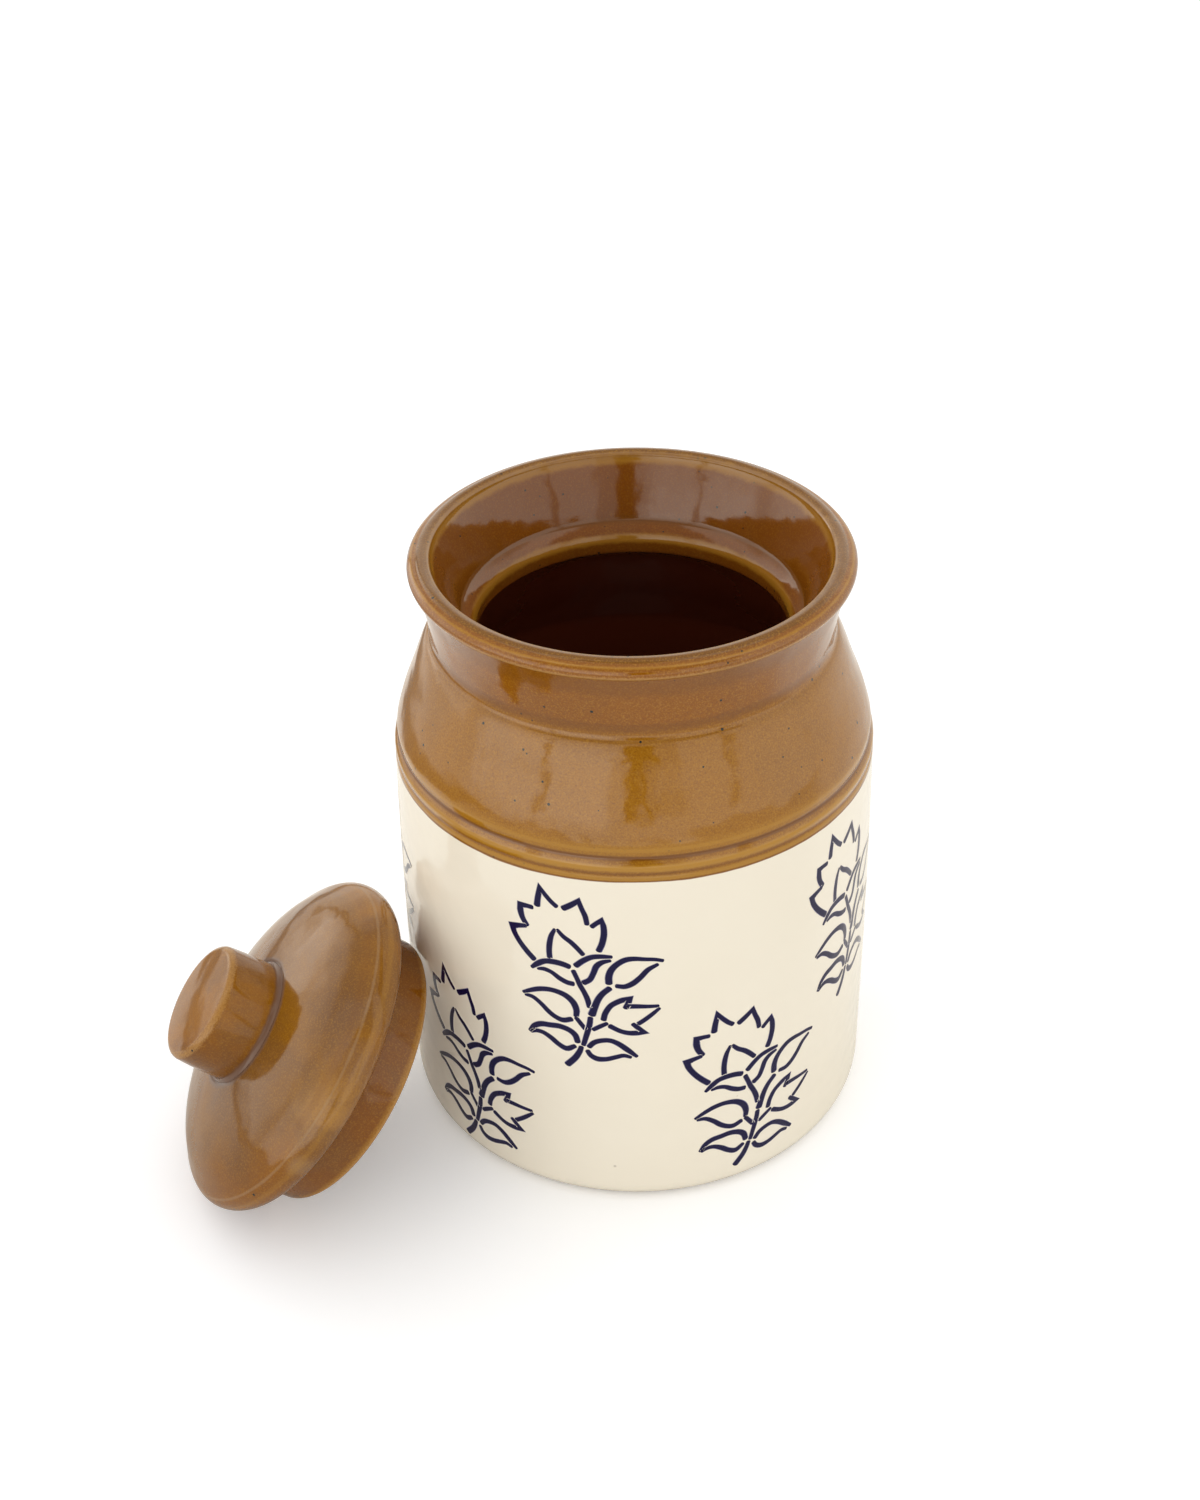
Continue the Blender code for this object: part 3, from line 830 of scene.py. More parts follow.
def printing_tree():
    """Lays a flat drawing on a round wall at each of several places and gives it the print's thickness."""
    t, given, gives = new_group(
        "printed_wall",
        "GeometryNodeTree",
        (
            ("Drawing", "NodeSocketGeometry", None),
            ("Places", "NodeSocketObject", None),
            ("Wall", "NodeSocketObject", None),
            ("Wall Radius", "NodeSocketFloat", 0.0625),
            ("Reach", "NodeSocketFloat", 0.02),
            ("Proud", "NodeSocketFloat", 0.00006),
            ("Depth", "NodeSocketFloat", 0.00012),
            ("Ink", "NodeSocketMaterial", None),
        ),
        (("Print", "NodeSocketGeometry", None),),
    )
    places, wall = (
        t.add("GeometryNodeObjectInfo", given[name], transform_space="RELATIVE").outputs["Geometry"]
        for name in ("Places", "Wall")
    )
    spread = t.add("GeometryNodeInstanceOnPoints", places)
    t.feed(spread, "Instance", given["Drawing"])
    real = t.add("GeometryNodeRealizeInstances", spread)
    parts = t.add("ShaderNodeSeparateXYZ", t.add("GeometryNodeInputPosition")).outputs
    bearing = t.math("DIVIDE", parts[0], given["Wall Radius"])
    ahead = t.times(t.math("COSINE", bearing), -1.0)
    outward = t.add("ShaderNodeCombineXYZ", t.math("SINE", bearing), ahead, 0.0)
    far = t.plus(given["Wall Radius"], given["Reach"])
    level = t.add("ShaderNodeCombineXYZ", 0.0, 0.0, parts[2])
    ray = t.add("GeometryNodeRaycast", wall)
    t.feed(ray, "Source Position", t.vector("ADD", t.scaled(outward, far), level))
    t.feed(ray, "Ray Direction", t.scaled(outward, -1.0))
    t.feed(ray, "Ray Length", far)
    on_wall = t.vector("ADD", ray.outputs["Hit Position"], t.scaled(outward, given["Proud"]))
    laid = t.add("GeometryNodeSetPosition", real)
    t.feed(laid, "Position", on_wall)
    front = t.stored(laid, "own_place", "FLOAT_VECTOR", t.add("GeometryNodeInputPosition"))
    towards_axis = t.vector("MULTIPLY", t.add("GeometryNodeInputPosition"), (-1.0, -1.0, 0.0))
    back = t.add("GeometryNodeExtrudeMesh", front, mode="FACES")
    t.feed(back, "Offset", t.vector("NORMALIZE", towards_axis))
    t.feed(back, "Offset Scale", given["Depth"])
    t.feed(back, "Individual", False)
    turned_front = t.add("GeometryNodeFlipFaces", front)
    both = t.add("GeometryNodeJoinGeometry")
    for side in (back, turned_front):
        t.tree.links.new(side.outputs[0], both.inputs[0])
    closed = t.add("GeometryNodeMergeByDistance", both)
    t.feed(closed, "Distance", MERGE_DISTANCE)
    t.tree.links.new(t.finished(closed, given["Ink"]), gives["Print"])
    return t.tree


def made_by(tree, source, name, **inputs):
    """Runs a geometry tree on an object and returns the result as a plain mesh object at the origin."""
    modifier = source.modifiers.new(tree.name, "NODES")
    modifier.node_group = tree
    for item in tree.interface.items_tree:
        value = inputs.get(item.name.lower().replace(" ", "_"))
        if value is not None:
            modifier[item.identifier] = value
    source.update_tag()
    bpy.context.view_layer.update()
    graph = bpy.context.evaluated_depsgraph_get()
    mesh = bpy.data.meshes.new_from_object(
        source.evaluated_get(graph), preserve_all_data_layers=True, depsgraph=graph
    )
    source.modifiers.clear()
    bpy.data.objects.remove(source)
    mesh.name = name
    return in_scene(name, mesh)


def in_scene(name, data):
    """A new object of this mesh or camera, in the scene and at the origin."""
    thing = bpy.data.objects.new(name, data)
    bpy.context.scene.collection.objects.link(thing)
    return thing


def face_outwards(piece):
    """Turns the faces of a closed piece outwards."""
    shape = bmesh.new()
    shape.from_mesh(piece.data)
    bmesh.ops.recalc_face_normals(shape, faces=shape.faces)
    if shape.calc_volume(signed=True) < 0:
        bmesh.ops.reverse_faces(shape, faces=shape.faces)
    shape.to_mesh(piece.data)
    shape.free()


def turned(name, outline, relief_values, material, sides, place=(0.0, 0.0, 0.0), turn=(0.0, 0.0, 0.0)):
    """A piece of turned pottery from its outline."""
    mesh = bpy.data.meshes.new(name + "_outline")
    points = [(radius, 0.0, height) for radius, height in outline]
    mesh.from_pydata(points, [(i, i + 1) for i in range(len(points) - 1)], [])
    relief = mesh.attributes.new("relief", "FLOAT", "POINT")
    relief.data.foreach_set("value", relief_values.astype(np.float32))
    piece = made_by(
        bpy.data.node_groups.get("turned_pottery") or turning_tree(),
        in_scene(name + "_outline", mesh),
        name,
        sides=sides,
        unevenness=UNEVENNESS,
        place=Vector(place),
        turn=turn,
        finish=material,
    )
    face_outwards(piece)
    return piece


# Glazes

# Where a cloud and a round speck begin and are full, and the smallest speck as a share of its size
CLOUD_EDGE = (0.38, 0.66)
SPECK_EDGE = (1.0, 0.6)
SMALLEST_SPECK = 0.5
# Where the grain turns the brown glaze golden, and where dusky, as stretches of its noise
GOLDEN_GRAIN = (0.46, 0.72)
DUSKY_GRAIN = (0.48, 0.28)
# Where the relief makes the brown glaze thin, and where it lets it pool, and how much of either shows
THIN_RELIEF = (0.20, 0.60)
POOLED_RELIEF = (-0.12, -0.40)
RELIEF_SHARE = 0.8
THIN_RAGGEDNESS = 0.4
# How much of the relief's marks the lip and the neck go without, since lines stand there instead
FLATTENED_RELIEF = 0.8
# A line or smudge is full within its reach divided by this
LINE_SHARPNESS = 3
SMUDGE_SHARPNESS = 5
# How much the ripple and the fine skin of a glaze add to its slow swell
RIPPLE_SHARE = 0.30
FINE_SKIN_SHARE = 0.012
# Each change of glaze as two distances in metres from its place on the outline, where it begins and ends
COLLAR_CHANGE = (-0.001, 0.004)
LIP_TOP_CHANGE = (-0.0009, -0.0004)
MOUTH_CHANGE = (0.0009, 0.0002)
NECK_CHANGE = (0.004, 0.002)
# where the painted shade inside the jar begins and is full, down from the neck
INSIDE_SHADE_CHANGE = (0.0, -0.007)
CREAM_CHANGE = (-0.00070, -0.00100)
CLAY_CHANGE = (0.0012, 0.0007)
RIM_CHANGE = (-0.0062, -0.0035)
# How far the edge of the cream glaze wanders up and down, and how strong the flecks in it are
CREAM_WANDER = 0.0008
FLECK_AMOUNT = 0.35
# Where the inside ends in the clay of the neck, as a share of its thickness
NECK_MIDDLE_SHARE = 0.3
# How much of the grain shows on the jar, how much less in its mouth, and how much on the lid
JAR_GRAIN = 0.48
MOUTH_GRAIN_LOSS = 0.30
LID_GRAIN = 0.32
# How rough the jar's glaze is, and how much rougher its bare clay
GLAZE_ROUGHNESS = 0.09
CLAY_ROUGHNESS = 0.5
# The side of the lid that is painted darker as shade, where less light falls, as a direction in the lid's
# own frame, and by how much
SHADED_SIDE = (0.50, 0.87, 0.0)
SHADED_SIDE_SHARE = 0.75
# Where a stroke of the print turns pale and then cream, from 0 at its middle to 1 at its edge
INK_BLEED = (0.60, 0.95)
INK_FADE = (0.68, 0.98)
INK_RAGGEDNESS = 0.5


def clouds_group():
    """Slow clouds and fine grain in a glaze, as two masks."""
    t, given, gives = new_group(
        "glaze_clouds",
        "ShaderNodeTree",
        (
            ("Place", "NodeSocketVector", None),
            ("Cloud Scale", "NodeSocketFloat", 60.0),
            ("Grain Scale", "NodeSocketFloat", 2400.0),
        ),
        (("Clouds", "NodeSocketFloat", None), ("Grain", "NodeSocketFloat", None)),
    )
    clouds = t.noise(given["Place"], given["Cloud Scale"], detail=3.0, roughness=0.55, distortion=0.6)
    t.tree.links.new(t.smooth_step(clouds, *CLOUD_EDGE), gives["Clouds"])
    grain = t.noise(given["Place"], given["Grain Scale"], detail=2.0, roughness=0.6)
    t.tree.links.new(grain, gives["Grain"])
    return t.tree


def specks_group():
    """Scattered round specks, as a mask."""
    t, given, gives = new_group(
        "glaze_specks",
        "ShaderNodeTree",
        (
            ("Place", "NodeSocketVector", None),
            ("Scale", "NodeSocketFloat", 250.0),
            ("Size", "NodeSocketFloat", 0.10),
            ("Share", "NodeSocketFloat", 0.03),
        ),
        (("Specks", "NodeSocketFloat", None),),
    )
    cells = t.add("ShaderNodeTexVoronoi", feature="F1")
    for name, value in (("Vector", given["Place"]), ("Scale", given["Scale"]), ("Randomness", 1.0)):
        t.feed(cells, name, value)
    chance = t.add("ShaderNodeSeparateColor", cells.outputs["Color"]).outputs
    chosen = t.math("LESS_THAN", chance[0], given["Share"])
    size = t.times(given["Size"], t.plus(SMALLEST_SPECK, chance[1]))
    inside = t.smooth_step(t.math("DIVIDE", cells.outputs["Distance"], size), *SPECK_EDGE)
    t.tree.links.new(t.times(inside, chosen), gives["Specks"])
    return t.tree


def skin_group():
    """The uneven skin of a fired glaze, as a height for Bump."""
    t, given, gives = new_group(
        "glaze_skin",
        "ShaderNodeTree",
        (
            ("Place", "NodeSocketVector", None),
            ("Swell Scale", "NodeSocketFloat", 45.0),
            ("Ripple Scale", "NodeSocketFloat", 130.0),
            ("Skin Scale", "NodeSocketFloat", 900.0),
        ),
        (("Height", "NodeSocketFloat", None),),
    )
    swell = t.noise(given["Place"], given["Swell Scale"], detail=1.5)
    ripple = t.times(t.noise(given["Place"], given["Ripple Scale"], detail=1.0), RIPPLE_SHARE)
    skin = t.times(t.noise(given["Place"], given["Skin Scale"], detail=1.0), FINE_SKIN_SHARE)
    t.tree.links.new(t.plus(t.plus(swell, ripple), skin), gives["Height"])
    return t.tree


def group_in(t, name, maker, **inputs):
    """Places a shader group in a material, with its own values."""
    node = t.add("ShaderNodeGroup")
    node.node_tree = bpy.data.node_groups.get(name) or maker()
    for socket, value in inputs.items():
        t.feed(node, socket.replace("_", " ").title(), value)
    return node.outputs


def new_material(name):
    """A material, the tree that its nodes go into and its Principled shader."""
    material = bpy.data.materials.new(name)
    material.use_nodes = True
    return material, Tree(material.node_tree), material.node_tree.nodes["Principled BSDF"]


def glazed_material(name, colour_of, roughness=0.10, skin_depth=0.0006, index=1.5):
    """A glossy glaze whose colour, and roughness where it varies, colour_of makes from place and relief."""
    material, t, shader = new_material(name)
    place = t.add("ShaderNodeAttribute", attribute_name="own_place").outputs["Vector"]
    relief = t.add("ShaderNodeAttribute", attribute_name="relief").outputs["Fac"]
    base, varied_roughness = colour_of(t, place, relief)
    t.feed(shader, "Base Color", base)
    t.feed(shader, "Roughness", roughness if varied_roughness is None else varied_roughness)
    t.feed(shader, "IOR", index)
    bump = t.add("ShaderNodeBump")
    t.feed(bump, "Strength", 1.0)
    t.feed(bump, "Distance", skin_depth)
    t.feed(bump, "Height", group_in(t, "glaze_skin", skin_group, place=place)["Height"])
    t.feed(shader, "Normal", bump)
    return material


def brown_glaze(t, place, relief, look, amber, cloud_scale, cloud_amount, grain_amount, speck_share):
    """Amber glaze, clouded, grained, thin over raised edges, pooled in creases and specked with iron."""
    masks = group_in(t, "glaze_clouds", clouds_group, place=place, cloud_scale=cloud_scale)
    grain = masks["Grain"]
    base = t.mix(t.times(masks["Clouds"], cloud_amount), amber, rgba(look.clouded))
    golden = t.times(t.smooth_step(grain, *GOLDEN_GRAIN), grain_amount)
    base = t.mix(golden, base, rgba(look.golden))
    dusky = t.times(t.smooth_step(grain, *DUSKY_GRAIN), grain_amount)
    base = t.mix(dusky, base, rgba(look.pooled))
    raised = t.plus(relief, t.times(t.minus(grain, NOISE_MIDDLE), THIN_RAGGEDNESS))
    thin = t.times(t.smooth_step(raised, *THIN_RELIEF), RELIEF_SHARE)
    base = t.mix(thin, base, rgba(look.thin))
    pooled = t.times(t.smooth_step(relief, *POOLED_RELIEF), RELIEF_SHARE)
    base = t.mix(pooled, base, rgba(look.pooled))
    specks = group_in(
        t, "glaze_specks", specks_group, place=place, scale=260.0, size=0.085, share=speck_share
    )
    return t.mix(specks["Specks"], base, rgba(look.iron))


def place_on_outline(t, place):
    """How far a place is from the axis and how high, each as a number, and both as one vector."""
    height = t.add("ShaderNodeSeparateXYZ", place).outputs[2]
    radius = t.vector("LENGTH", t.vector("MULTIPLY", place, (1.0, 1.0, 0.0)))
    return radius, height, t.add("ShaderNodeCombineXYZ", radius, height, 0.0)


def ring_lines(t, place, profile, base, lines):
    """Fine lines round a turned piece, of glaze and of painted highlight and shade, each (radius, height,
    reach, amount, colour).
    """
    uneven = t.plus(t.noise(place, scale=260.0, detail=3.0, roughness=0.65), NOISE_MIDDLE)
    for radius, height, reach, amount, colour_of_line in lines:
        off = t.times(t.vector("DISTANCE", profile, (radius, height, 0.0)), uneven)
        line = t.times(t.smooth_step(off, reach, reach / LINE_SHARPNESS), amount)
        base = t.mix(line, base, rgba(colour_of_line))
    return base


def jar_lines(look, jar, neck, seat, mouth):
    """The lines round the jar: golden edges of the lip, the ledge and the bead, where the glaze runs thin
    and which partly stand as painted highlights, a painted highlight and painted shade on the lip, and the
    creases between.
    """
    top = jar.height
    under_lip = top - jar.lip_thickness
    lip = mouth + jar.lip_width
    crest = seat - jar.seat_width
    ledge = neck + jar.seat_lift
    wall_top = jar.body_radius - jar.wall_draw
    groove_floor = wall_top - jar.groove_depth
    foot_crease = wall_top - jar.groove_depth * FOOT_CREASE_DEPTH
    line = jar.glaze_line
    band = jar.band_height
    return (
        # the lip, from its inner edge over its top to its foot, with a painted highlight on its inner edge
        # in the pale sheen colour
        (mouth + 0.0003, top - 0.0005, 0.0007, 0.35, look.painted_sheen),
        (mouth + 0.0004, top - 0.0021, 0.0021, 0.55, look.golden),
        (mouth + 0.0020, top, 0.0007, 0.5, look.lip_amber),
        (lip - 0.0009, top - 0.0008, 0.0007, 0.6, look.golden),
        (lip - 0.0010, under_lip, 0.0008, 0.4, look.golden),
        # painted shade on the collar under the lip, in the pooled glaze's colour
        (lip - 0.0024, under_lip - 0.0030, 0.0045, 0.40, look.pooled),
        # the ledge's crest, whose golden line is thin glaze and partly a painted highlight, the crease
        # behind it and the crease at the neck
        (crest + 0.0003, ledge - jar.seat_rise + 0.0015, 0.0018, 0.5, look.golden),
        (seat, ledge, 0.0018, 0.55, look.pooled),
        (wall_top - jar.shoulder_width, neck + jar.neck_round, 0.0018, 0.45, look.pooled),
        # the band, from the shoulder's foot over its groove and bead to its own foot; the golden lines at
        # the shoulder's foot and on the bead are thin glaze and partly painted highlights
        (groove_floor, line + band, 0.0024, 0.30, look.golden),
        (groove_floor, line + band, 0.0008, 0.50, look.golden),
        (wall_top, line + band * BEAD_SHARE, 0.0014, 0.9, look.golden),
        (foot_crease, line + band * FOOT_CREASE_SHARE, 0.0005, 0.4, look.pooled),
        (groove_floor, line + band * GROOVE_SHARE, 0.0009, 0.7, look.pooled),
        # the two edges of the brown glaze where it meets the cream
        (wall_top, line + 0.0003, 0.0009, 0.7, look.golden),
        (wall_top, line - 0.0006, 0.0004, 0.6, look.pooled),
    )


def jar_brown(t, place, relief, look, jar):
    """The jar's brown glaze: amber on the shoulder, deeper on the collar and lip, deep amber in the mouth
    and painted dark inside the jar as shade.
    """
    radius, height, profile = place_on_outline(t, place)
    neck = jar.glaze_line + jar.band_height + jar.shoulder_rise
    seat = jar.body_radius - jar.wall_draw - jar.shoulder_width - jar.neck_wall
    mouth = seat + jar.collar_flare
    in_mouth = t.change_at(radius, mouth, MOUTH_CHANGE)
    amber = rgba(look.amber)
    for mask, glaze in (
        (t.change_at(height, neck, COLLAR_CHANGE), look.collar_amber),
        (t.change_at(height, jar.height, LIP_TOP_CHANGE), look.lip_amber),
        (in_mouth, look.mouth_amber),
    ):
        amber = t.mix(mask, amber, rgba(glaze))
    at_neck = t.smooth_step(t.math("ABSOLUTE", t.minus(height, neck)), *NECK_CHANGE)
    on_lip = t.smooth_step(height, jar.height - jar.lip_thickness, jar.height - jar.lip_thickness / 2)
    flat = t.times(t.math("MAXIMUM", on_lip, at_neck), FLATTENED_RELIEF)
    flatter_relief = t.times(relief, t.minus(1.0, flat))
    grain = t.minus(JAR_GRAIN, t.times(in_mouth, MOUTH_GRAIN_LOSS))
    brown = brown_glaze(
        t,
        place,
        flatter_relief,
        look,
        amber,
        cloud_scale=40.0,
        cloud_amount=0.2,
        grain_amount=grain,
        speck_share=0.9,
    )
    brown = ring_lines(t, place, profile, brown, jar_lines(look, jar, neck, seat, mouth))
    # Painted shade: the inner surface below the neck takes the dark inside colour
    foot_middle = jar.body_radius - jar.wall_draw - jar.wall_thickness / 2
    neck_middle = seat + jar.neck_wall * NECK_MIDDLE_SHARE
    middle = t.add("ShaderNodeMapRange", height, jar.glaze_line, neck, foot_middle, neck_middle)
    inside = t.times(t.change_at(height, neck, INSIDE_SHADE_CHANGE), t.math("LESS_THAN", radius, middle))
    return t.mix(inside, brown, rgba(look.inside))


def jar_colours(look, jar):
    """The jar's colours: cream outside below the glaze line, bare clay under the base, brown elsewhere."""

    def colour_of(t, place, relief):
        radius, height, _ = place_on_outline(t, place)
        brown = jar_brown(t, place, relief, look, jar)
        wander = t.minus(t.noise(place, scale=70.0, detail=3.0), NOISE_MIDDLE)
        wandering_height = t.plus(height, t.times(wander, CREAM_WANDER))
        below = t.change_at(wandering_height, jar.glaze_line, CREAM_CHANGE)
        outer = t.math("GREATER_THAN", radius, jar.body_radius - jar.wall_thickness / 2)
        under = t.math("LESS_THAN", height, jar.floor_thickness / 2)
        creamy = t.times(below, t.math("MAXIMUM", outer, under))
        depth = t.noise(place, scale=25.0, detail=2.0)
        cream = t.mix(depth, rgba(look.cream), rgba(look.cream_deep))
        flecks = group_in(t, "glaze_specks", specks_group, place=place, scale=160.0, size=0.07, share=0.05)
        cream = t.mix(t.times(flecks["Specks"], FLECK_AMOUNT), cream, rgba(look.clouded))
        clay = t.change_at(height, 0.0, CLAY_CHANGE)
        cream = t.mix(clay, cream, rgba(look.clay))
        roughness = t.plus(GLAZE_ROUGHNESS, t.times(t.times(clay, creamy), CLAY_ROUGHNESS))
        return t.mix(creamy, brown, cream), roughness

    return colour_of


# Smudges in the lid's glaze, in the lid's own frame: (place, reach, amount, name of the colour). The two in
# the pale sheen colour are painted reflections
LID_SMUDGES = (
    ((-0.031, 0.023, 0.007), 0.012, 0.85, "clouded"),
    ((-0.043, -0.001, 0.004), 0.005, 0.55, "clouded"),
    ((-0.034, 0.005, 0.009), 0.006, 0.40, "clouded"),
    ((0.014, 0.035, 0.008), 0.009, 0.50, "clouded"),
    ((-0.028, 0.035, 0.003), 0.009, 0.45, "mauve"),
    ((-0.016, 0.041, 0.003), 0.014, 0.30, "painted_sheen"),
    ((-0.001, 0.045, 0.000), 0.005, 0.50, "painted_sheen"),
)


def lid_colours(look, lid, knob, plain, cloud_scale, cloud_amount, shaded_side):
    """The brown glaze of the lid and knob, golden along the rolled rim, partly as painted light, painted
    darker as shade under the rim and on the low side, with painted highlights along the rim and in smudges.
    """

    def colour_of(t, place, relief):
        radius, height, profile = place_on_outline(t, place)
        # painted shade: a mask for the lid's low side, where less light falls
        lower = t.smooth_step(t.vector("DOT_PRODUCT", place, SHADED_SIDE), *shaded_side)
        amber = rgba(plain)
        for mask, glaze in (
            # the rolled rim, lighter: partly thin glaze, partly painted light
            (t.change_at(radius, lid.rim_radius, RIM_CHANGE), look.rim_amber),
            # painted shade under the rim, over the flange and the hollow, then on the lid's low side
            (t.smooth_step(height, 0.0, -lid.rim_roll), look.shade_amber),
            (t.times(lower, SHADED_SIDE_SHARE), look.shade_amber),
        ):
            amber = t.mix(mask, amber, rgba(glaze))
        uneven = t.plus(t.noise(place, scale=110.0, detail=3.0, roughness=0.6), NOISE_MIDDLE)
        for spot, reach, amount, tone in LID_SMUDGES:
            off = t.times(t.vector("DISTANCE", place, spot), uneven)
            smudge = t.times(t.smooth_step(off, reach, reach / SMUDGE_SHARPNESS), amount)
            amber = t.mix(smudge, amber, rgba(getattr(look, tone)))
        brown = brown_glaze(
            t, place, relief, look, amber, cloud_scale, cloud_amount, LID_GRAIN, speck_share=0.12
        )
        lines = (
            (knob.radius + knob.root_round, lid.dome_rise, 0.0019, 0.65, look.mauve),
            (lid.rim_radius - lid.rim_roll * 0.65, lid.rim_roll, 0.0016, 0.25, look.pooled),
            # a painted highlight along the rolled rim, in the pale sheen colour
            (lid.rim_radius - lid.rim_roll * 0.25, lid.rim_roll * 0.66, 0.0006, 0.32, look.painted_sheen),
            (lid.rim_radius, lid.rim_roll * 0.1, 0.0012, 0.2, look.golden),
            (lid.flange_radius, lid.flange_round - lid.flange_drop, 0.0012, 0.3, look.golden),
        )
        return ring_lines(t, place, profile, brown, lines), None

    return colour_of


def ink_colours(look):
    """The blue of the print, paler towards a stroke's ragged edge and cream at the very edge."""

    def colour_of(t, place, relief):
        edge = t.add("ShaderNodeAttribute", attribute_name="ink_edge").outputs["Fac"]
        patch = t.minus(t.noise(place, scale=450.0, detail=2.0), NOISE_MIDDLE)
        ragged_edge = t.plus(edge, t.times(patch, INK_RAGGEDNESS))
        ink = t.mix(t.smooth_step(ragged_edge, *INK_BLEED), rgba(look.ink), rgba(look.ink_edge))
        return t.mix(t.smooth_step(edge, *INK_FADE), ink, rgba(look.cream)), None

    return colour_of


# The print

# How long a stroke's steps are, in the drawing's millimetres, and how finely its curves are worked out
STROKE_STEP = 0.55
CURVE_DIVISIONS = 12
# A stroke's round end: its number of steps, and its length as a share of the half width
CAP_STEPS = 4
CAP_LENGTH = 0.55
# The run kept clear beside a corner, as a share of the stroke's width, and the sharpest mitre, as a cosine
CORNER_CLEARANCE = 0.95
SHARPEST_MITRE = 0.42
# A section narrower than this comes to a point
NO_WIDTH = 0.000001
MILLIMETRES_PER_METRE = 1000


def stroke_line(stretches):
    """A stroke's middle line with widths, with even steps that keep clear of its corners."""
    line = []
    for number, stretch in enumerate(stretches):
        dense = np.array(through(stretch, CURVE_DIVISIONS))
        steps = np.linalg.norm(np.diff(dense[:, :2], axis=0), axis=1)
        along = np.concatenate([[0.0], np.cumsum(steps)])
        count = max(2, round(along[-1] / STROKE_STEP))
        spots = np.linspace(0, along[-1], count + 1)
        even = np.stack([np.interp(spots, along, dense[:, i]) for i in range(3)], axis=1)
        keep = np.ones(len(even), bool)
        clear = CORNER_CLEARANCE * max(point[2] for point in stretch)
        if number > 0:
            keep &= (spots > clear) | (spots == 0)
        if number < len(stretches) - 1:
            keep &= (spots < along[-1] - clear) | (spots == along[-1])
        chosen = even[keep]
        line += list(chosen[1:] if line else chosen)
    return np.array(line)


def stroke_sections(line):
    """Cross sections of a stroke, each (middle, side, half width), with round ends and mitred corners."""
    points = line[:, :2]
    half = line[:, 2] / 2 * STROKE_WIDENING + STROKE_BLEED
    ahead = np.diff(points, axis=0)
    ahead /= np.linalg.norm(ahead, axis=1, keepdims=True)
    before = np.vstack([ahead[:1], ahead])
    after = np.vstack([ahead, ahead[-1:]])
    sides = np.stack([-(before + after)[:, 1], (before + after)[:, 0]], axis=1)
    sides /= np.linalg.norm(sides, axis=1, keepdims=True)
    normals = np.stack([-before[:, 1], before[:, 0]], axis=1)
    mitre = 1 / np.maximum((sides * normals).sum(axis=1), SHARPEST_MITRE)
    angles = np.linspace(0.5, 0.0, CAP_STEPS, endpoint=False) * math.pi
    caps = [(math.sin(angle), math.cos(angle)) for angle in angles]
    sections = []
    for reach, width in caps:
        middle = points[0] - ahead[0] * half[0] * CAP_LENGTH * reach
        sections.append((middle, sides[0], half[0] * width))
    for middle, side, size, out in zip(points, sides, half, mitre):
        sections.append((middle, side * out, size))
    for reach, width in reversed(caps):
        middle = points[-1] + ahead[-1] * half[-1] * CAP_LENGTH * reach
        sections.append((middle, sides[-1], half[-1] * width))
    return sections


def add_stroke(shape, edge_layer, stretches):
    """Draws one brush stroke as a flat strip, whose layer says how near its edge each point is."""
    previous = None
    for middle, side, size in stroke_sections(stroke_line(stretches)):
        pointed = size < NO_WIDTH
        row = []
        for offset in (0,) if pointed else (-1, 0, 1):
            place = (middle + side * size * offset) / MILLIMETRES_PER_METRE
            vert = shape.verts.new((place[0], 0.0, place[1]))
            vert[edge_layer] = 1.0 if pointed else abs(offset)
            row.append(vert)
        if previous and len(previous) < len(row):
            shape.faces.new((previous[0], row[1], row[0]))
            shape.faces.new((previous[0], row[2], row[1]))
        elif previous and len(previous) > len(row):
            shape.faces.new((previous[0], previous[1], row[0]))
            shape.faces.new((previous[1], previous[2], row[0]))
        elif previous:
            for i in (0, 1):
                shape.faces.new((previous[i], previous[i + 1], row[i + 1], row[i]))
        previous = row


def sprig_drawing():
    """One sprig, flat, as a mesh object whose up is Z."""
    shape = bmesh.new()
    edge_layer = shape.verts.layers.float.new("ink_edge")
    for stretches in SPRIG_STROKES:
        add_stroke(shape, edge_layer, stretches)
    mesh = bpy.data.meshes.new("sprig_drawing")
    shape.to_mesh(mesh)
    shape.free()
    return in_scene("sprig_drawing", mesh)


# The studio

# What shows in the glaze. Darker upright gaps between the white panels round the studio: (azimuth from the
# camera's side, half width, lowest and highest elevation, softness, all in degrees, and how dark)
STUDIO_GAPS = (
    (2.5, 4.5, 5.5, 30.0, 2.5, 1.0),
    (12.0, 9.0, 8.0, 34.0, 4.0, 0.40),
    (-43.0, 1.0, 1.0, 40.0, 0.9, 0.70),
    (48.0, 1.4, 2.0, 40.0, 1.0, 0.60),
    (-147.0, 1.3, -8.0, 36.0, 1.2, 0.55),
)
# Brighter and darker stretches: (azimuth, half width, softness at the sides, then the elevations where the
# stretch begins, is full, is full still and ends, and the light that it adds)
STUDIO_LIGHTS = (
    (-45.0, 28.0, 12.0, -10.0, 3.0, 9.0, 36.0, 0.85),
    (-116.0, 20.0, 9.0, -7.0, -1.0, 18.0, 40.0, 0.50),
    (-134.0, 6.0, 8.0, 1.0, 6.0, 12.0, 24.0, 0.75),
    (0.0, 75.0, 20.0, -30.0, -8.0, 6.0, 20.0, 0.15),
    (0.0, 60.0, 12.0, 32.0, 44.0, 90.0, 91.0, -0.80),
    (180.0, 70.0, 14.0, 30.0, 44.0, 90.0, 91.0, -0.55),
)
# The panels' own light and its colour, and how far their edges waver, in degrees
PANEL_LIGHT = 1.1
PANEL_COLOUR = (1.0, 0.965, 0.88, 1.0)
WAVER_SCALE = 14.0
WAVER_ANGLE = 16.0
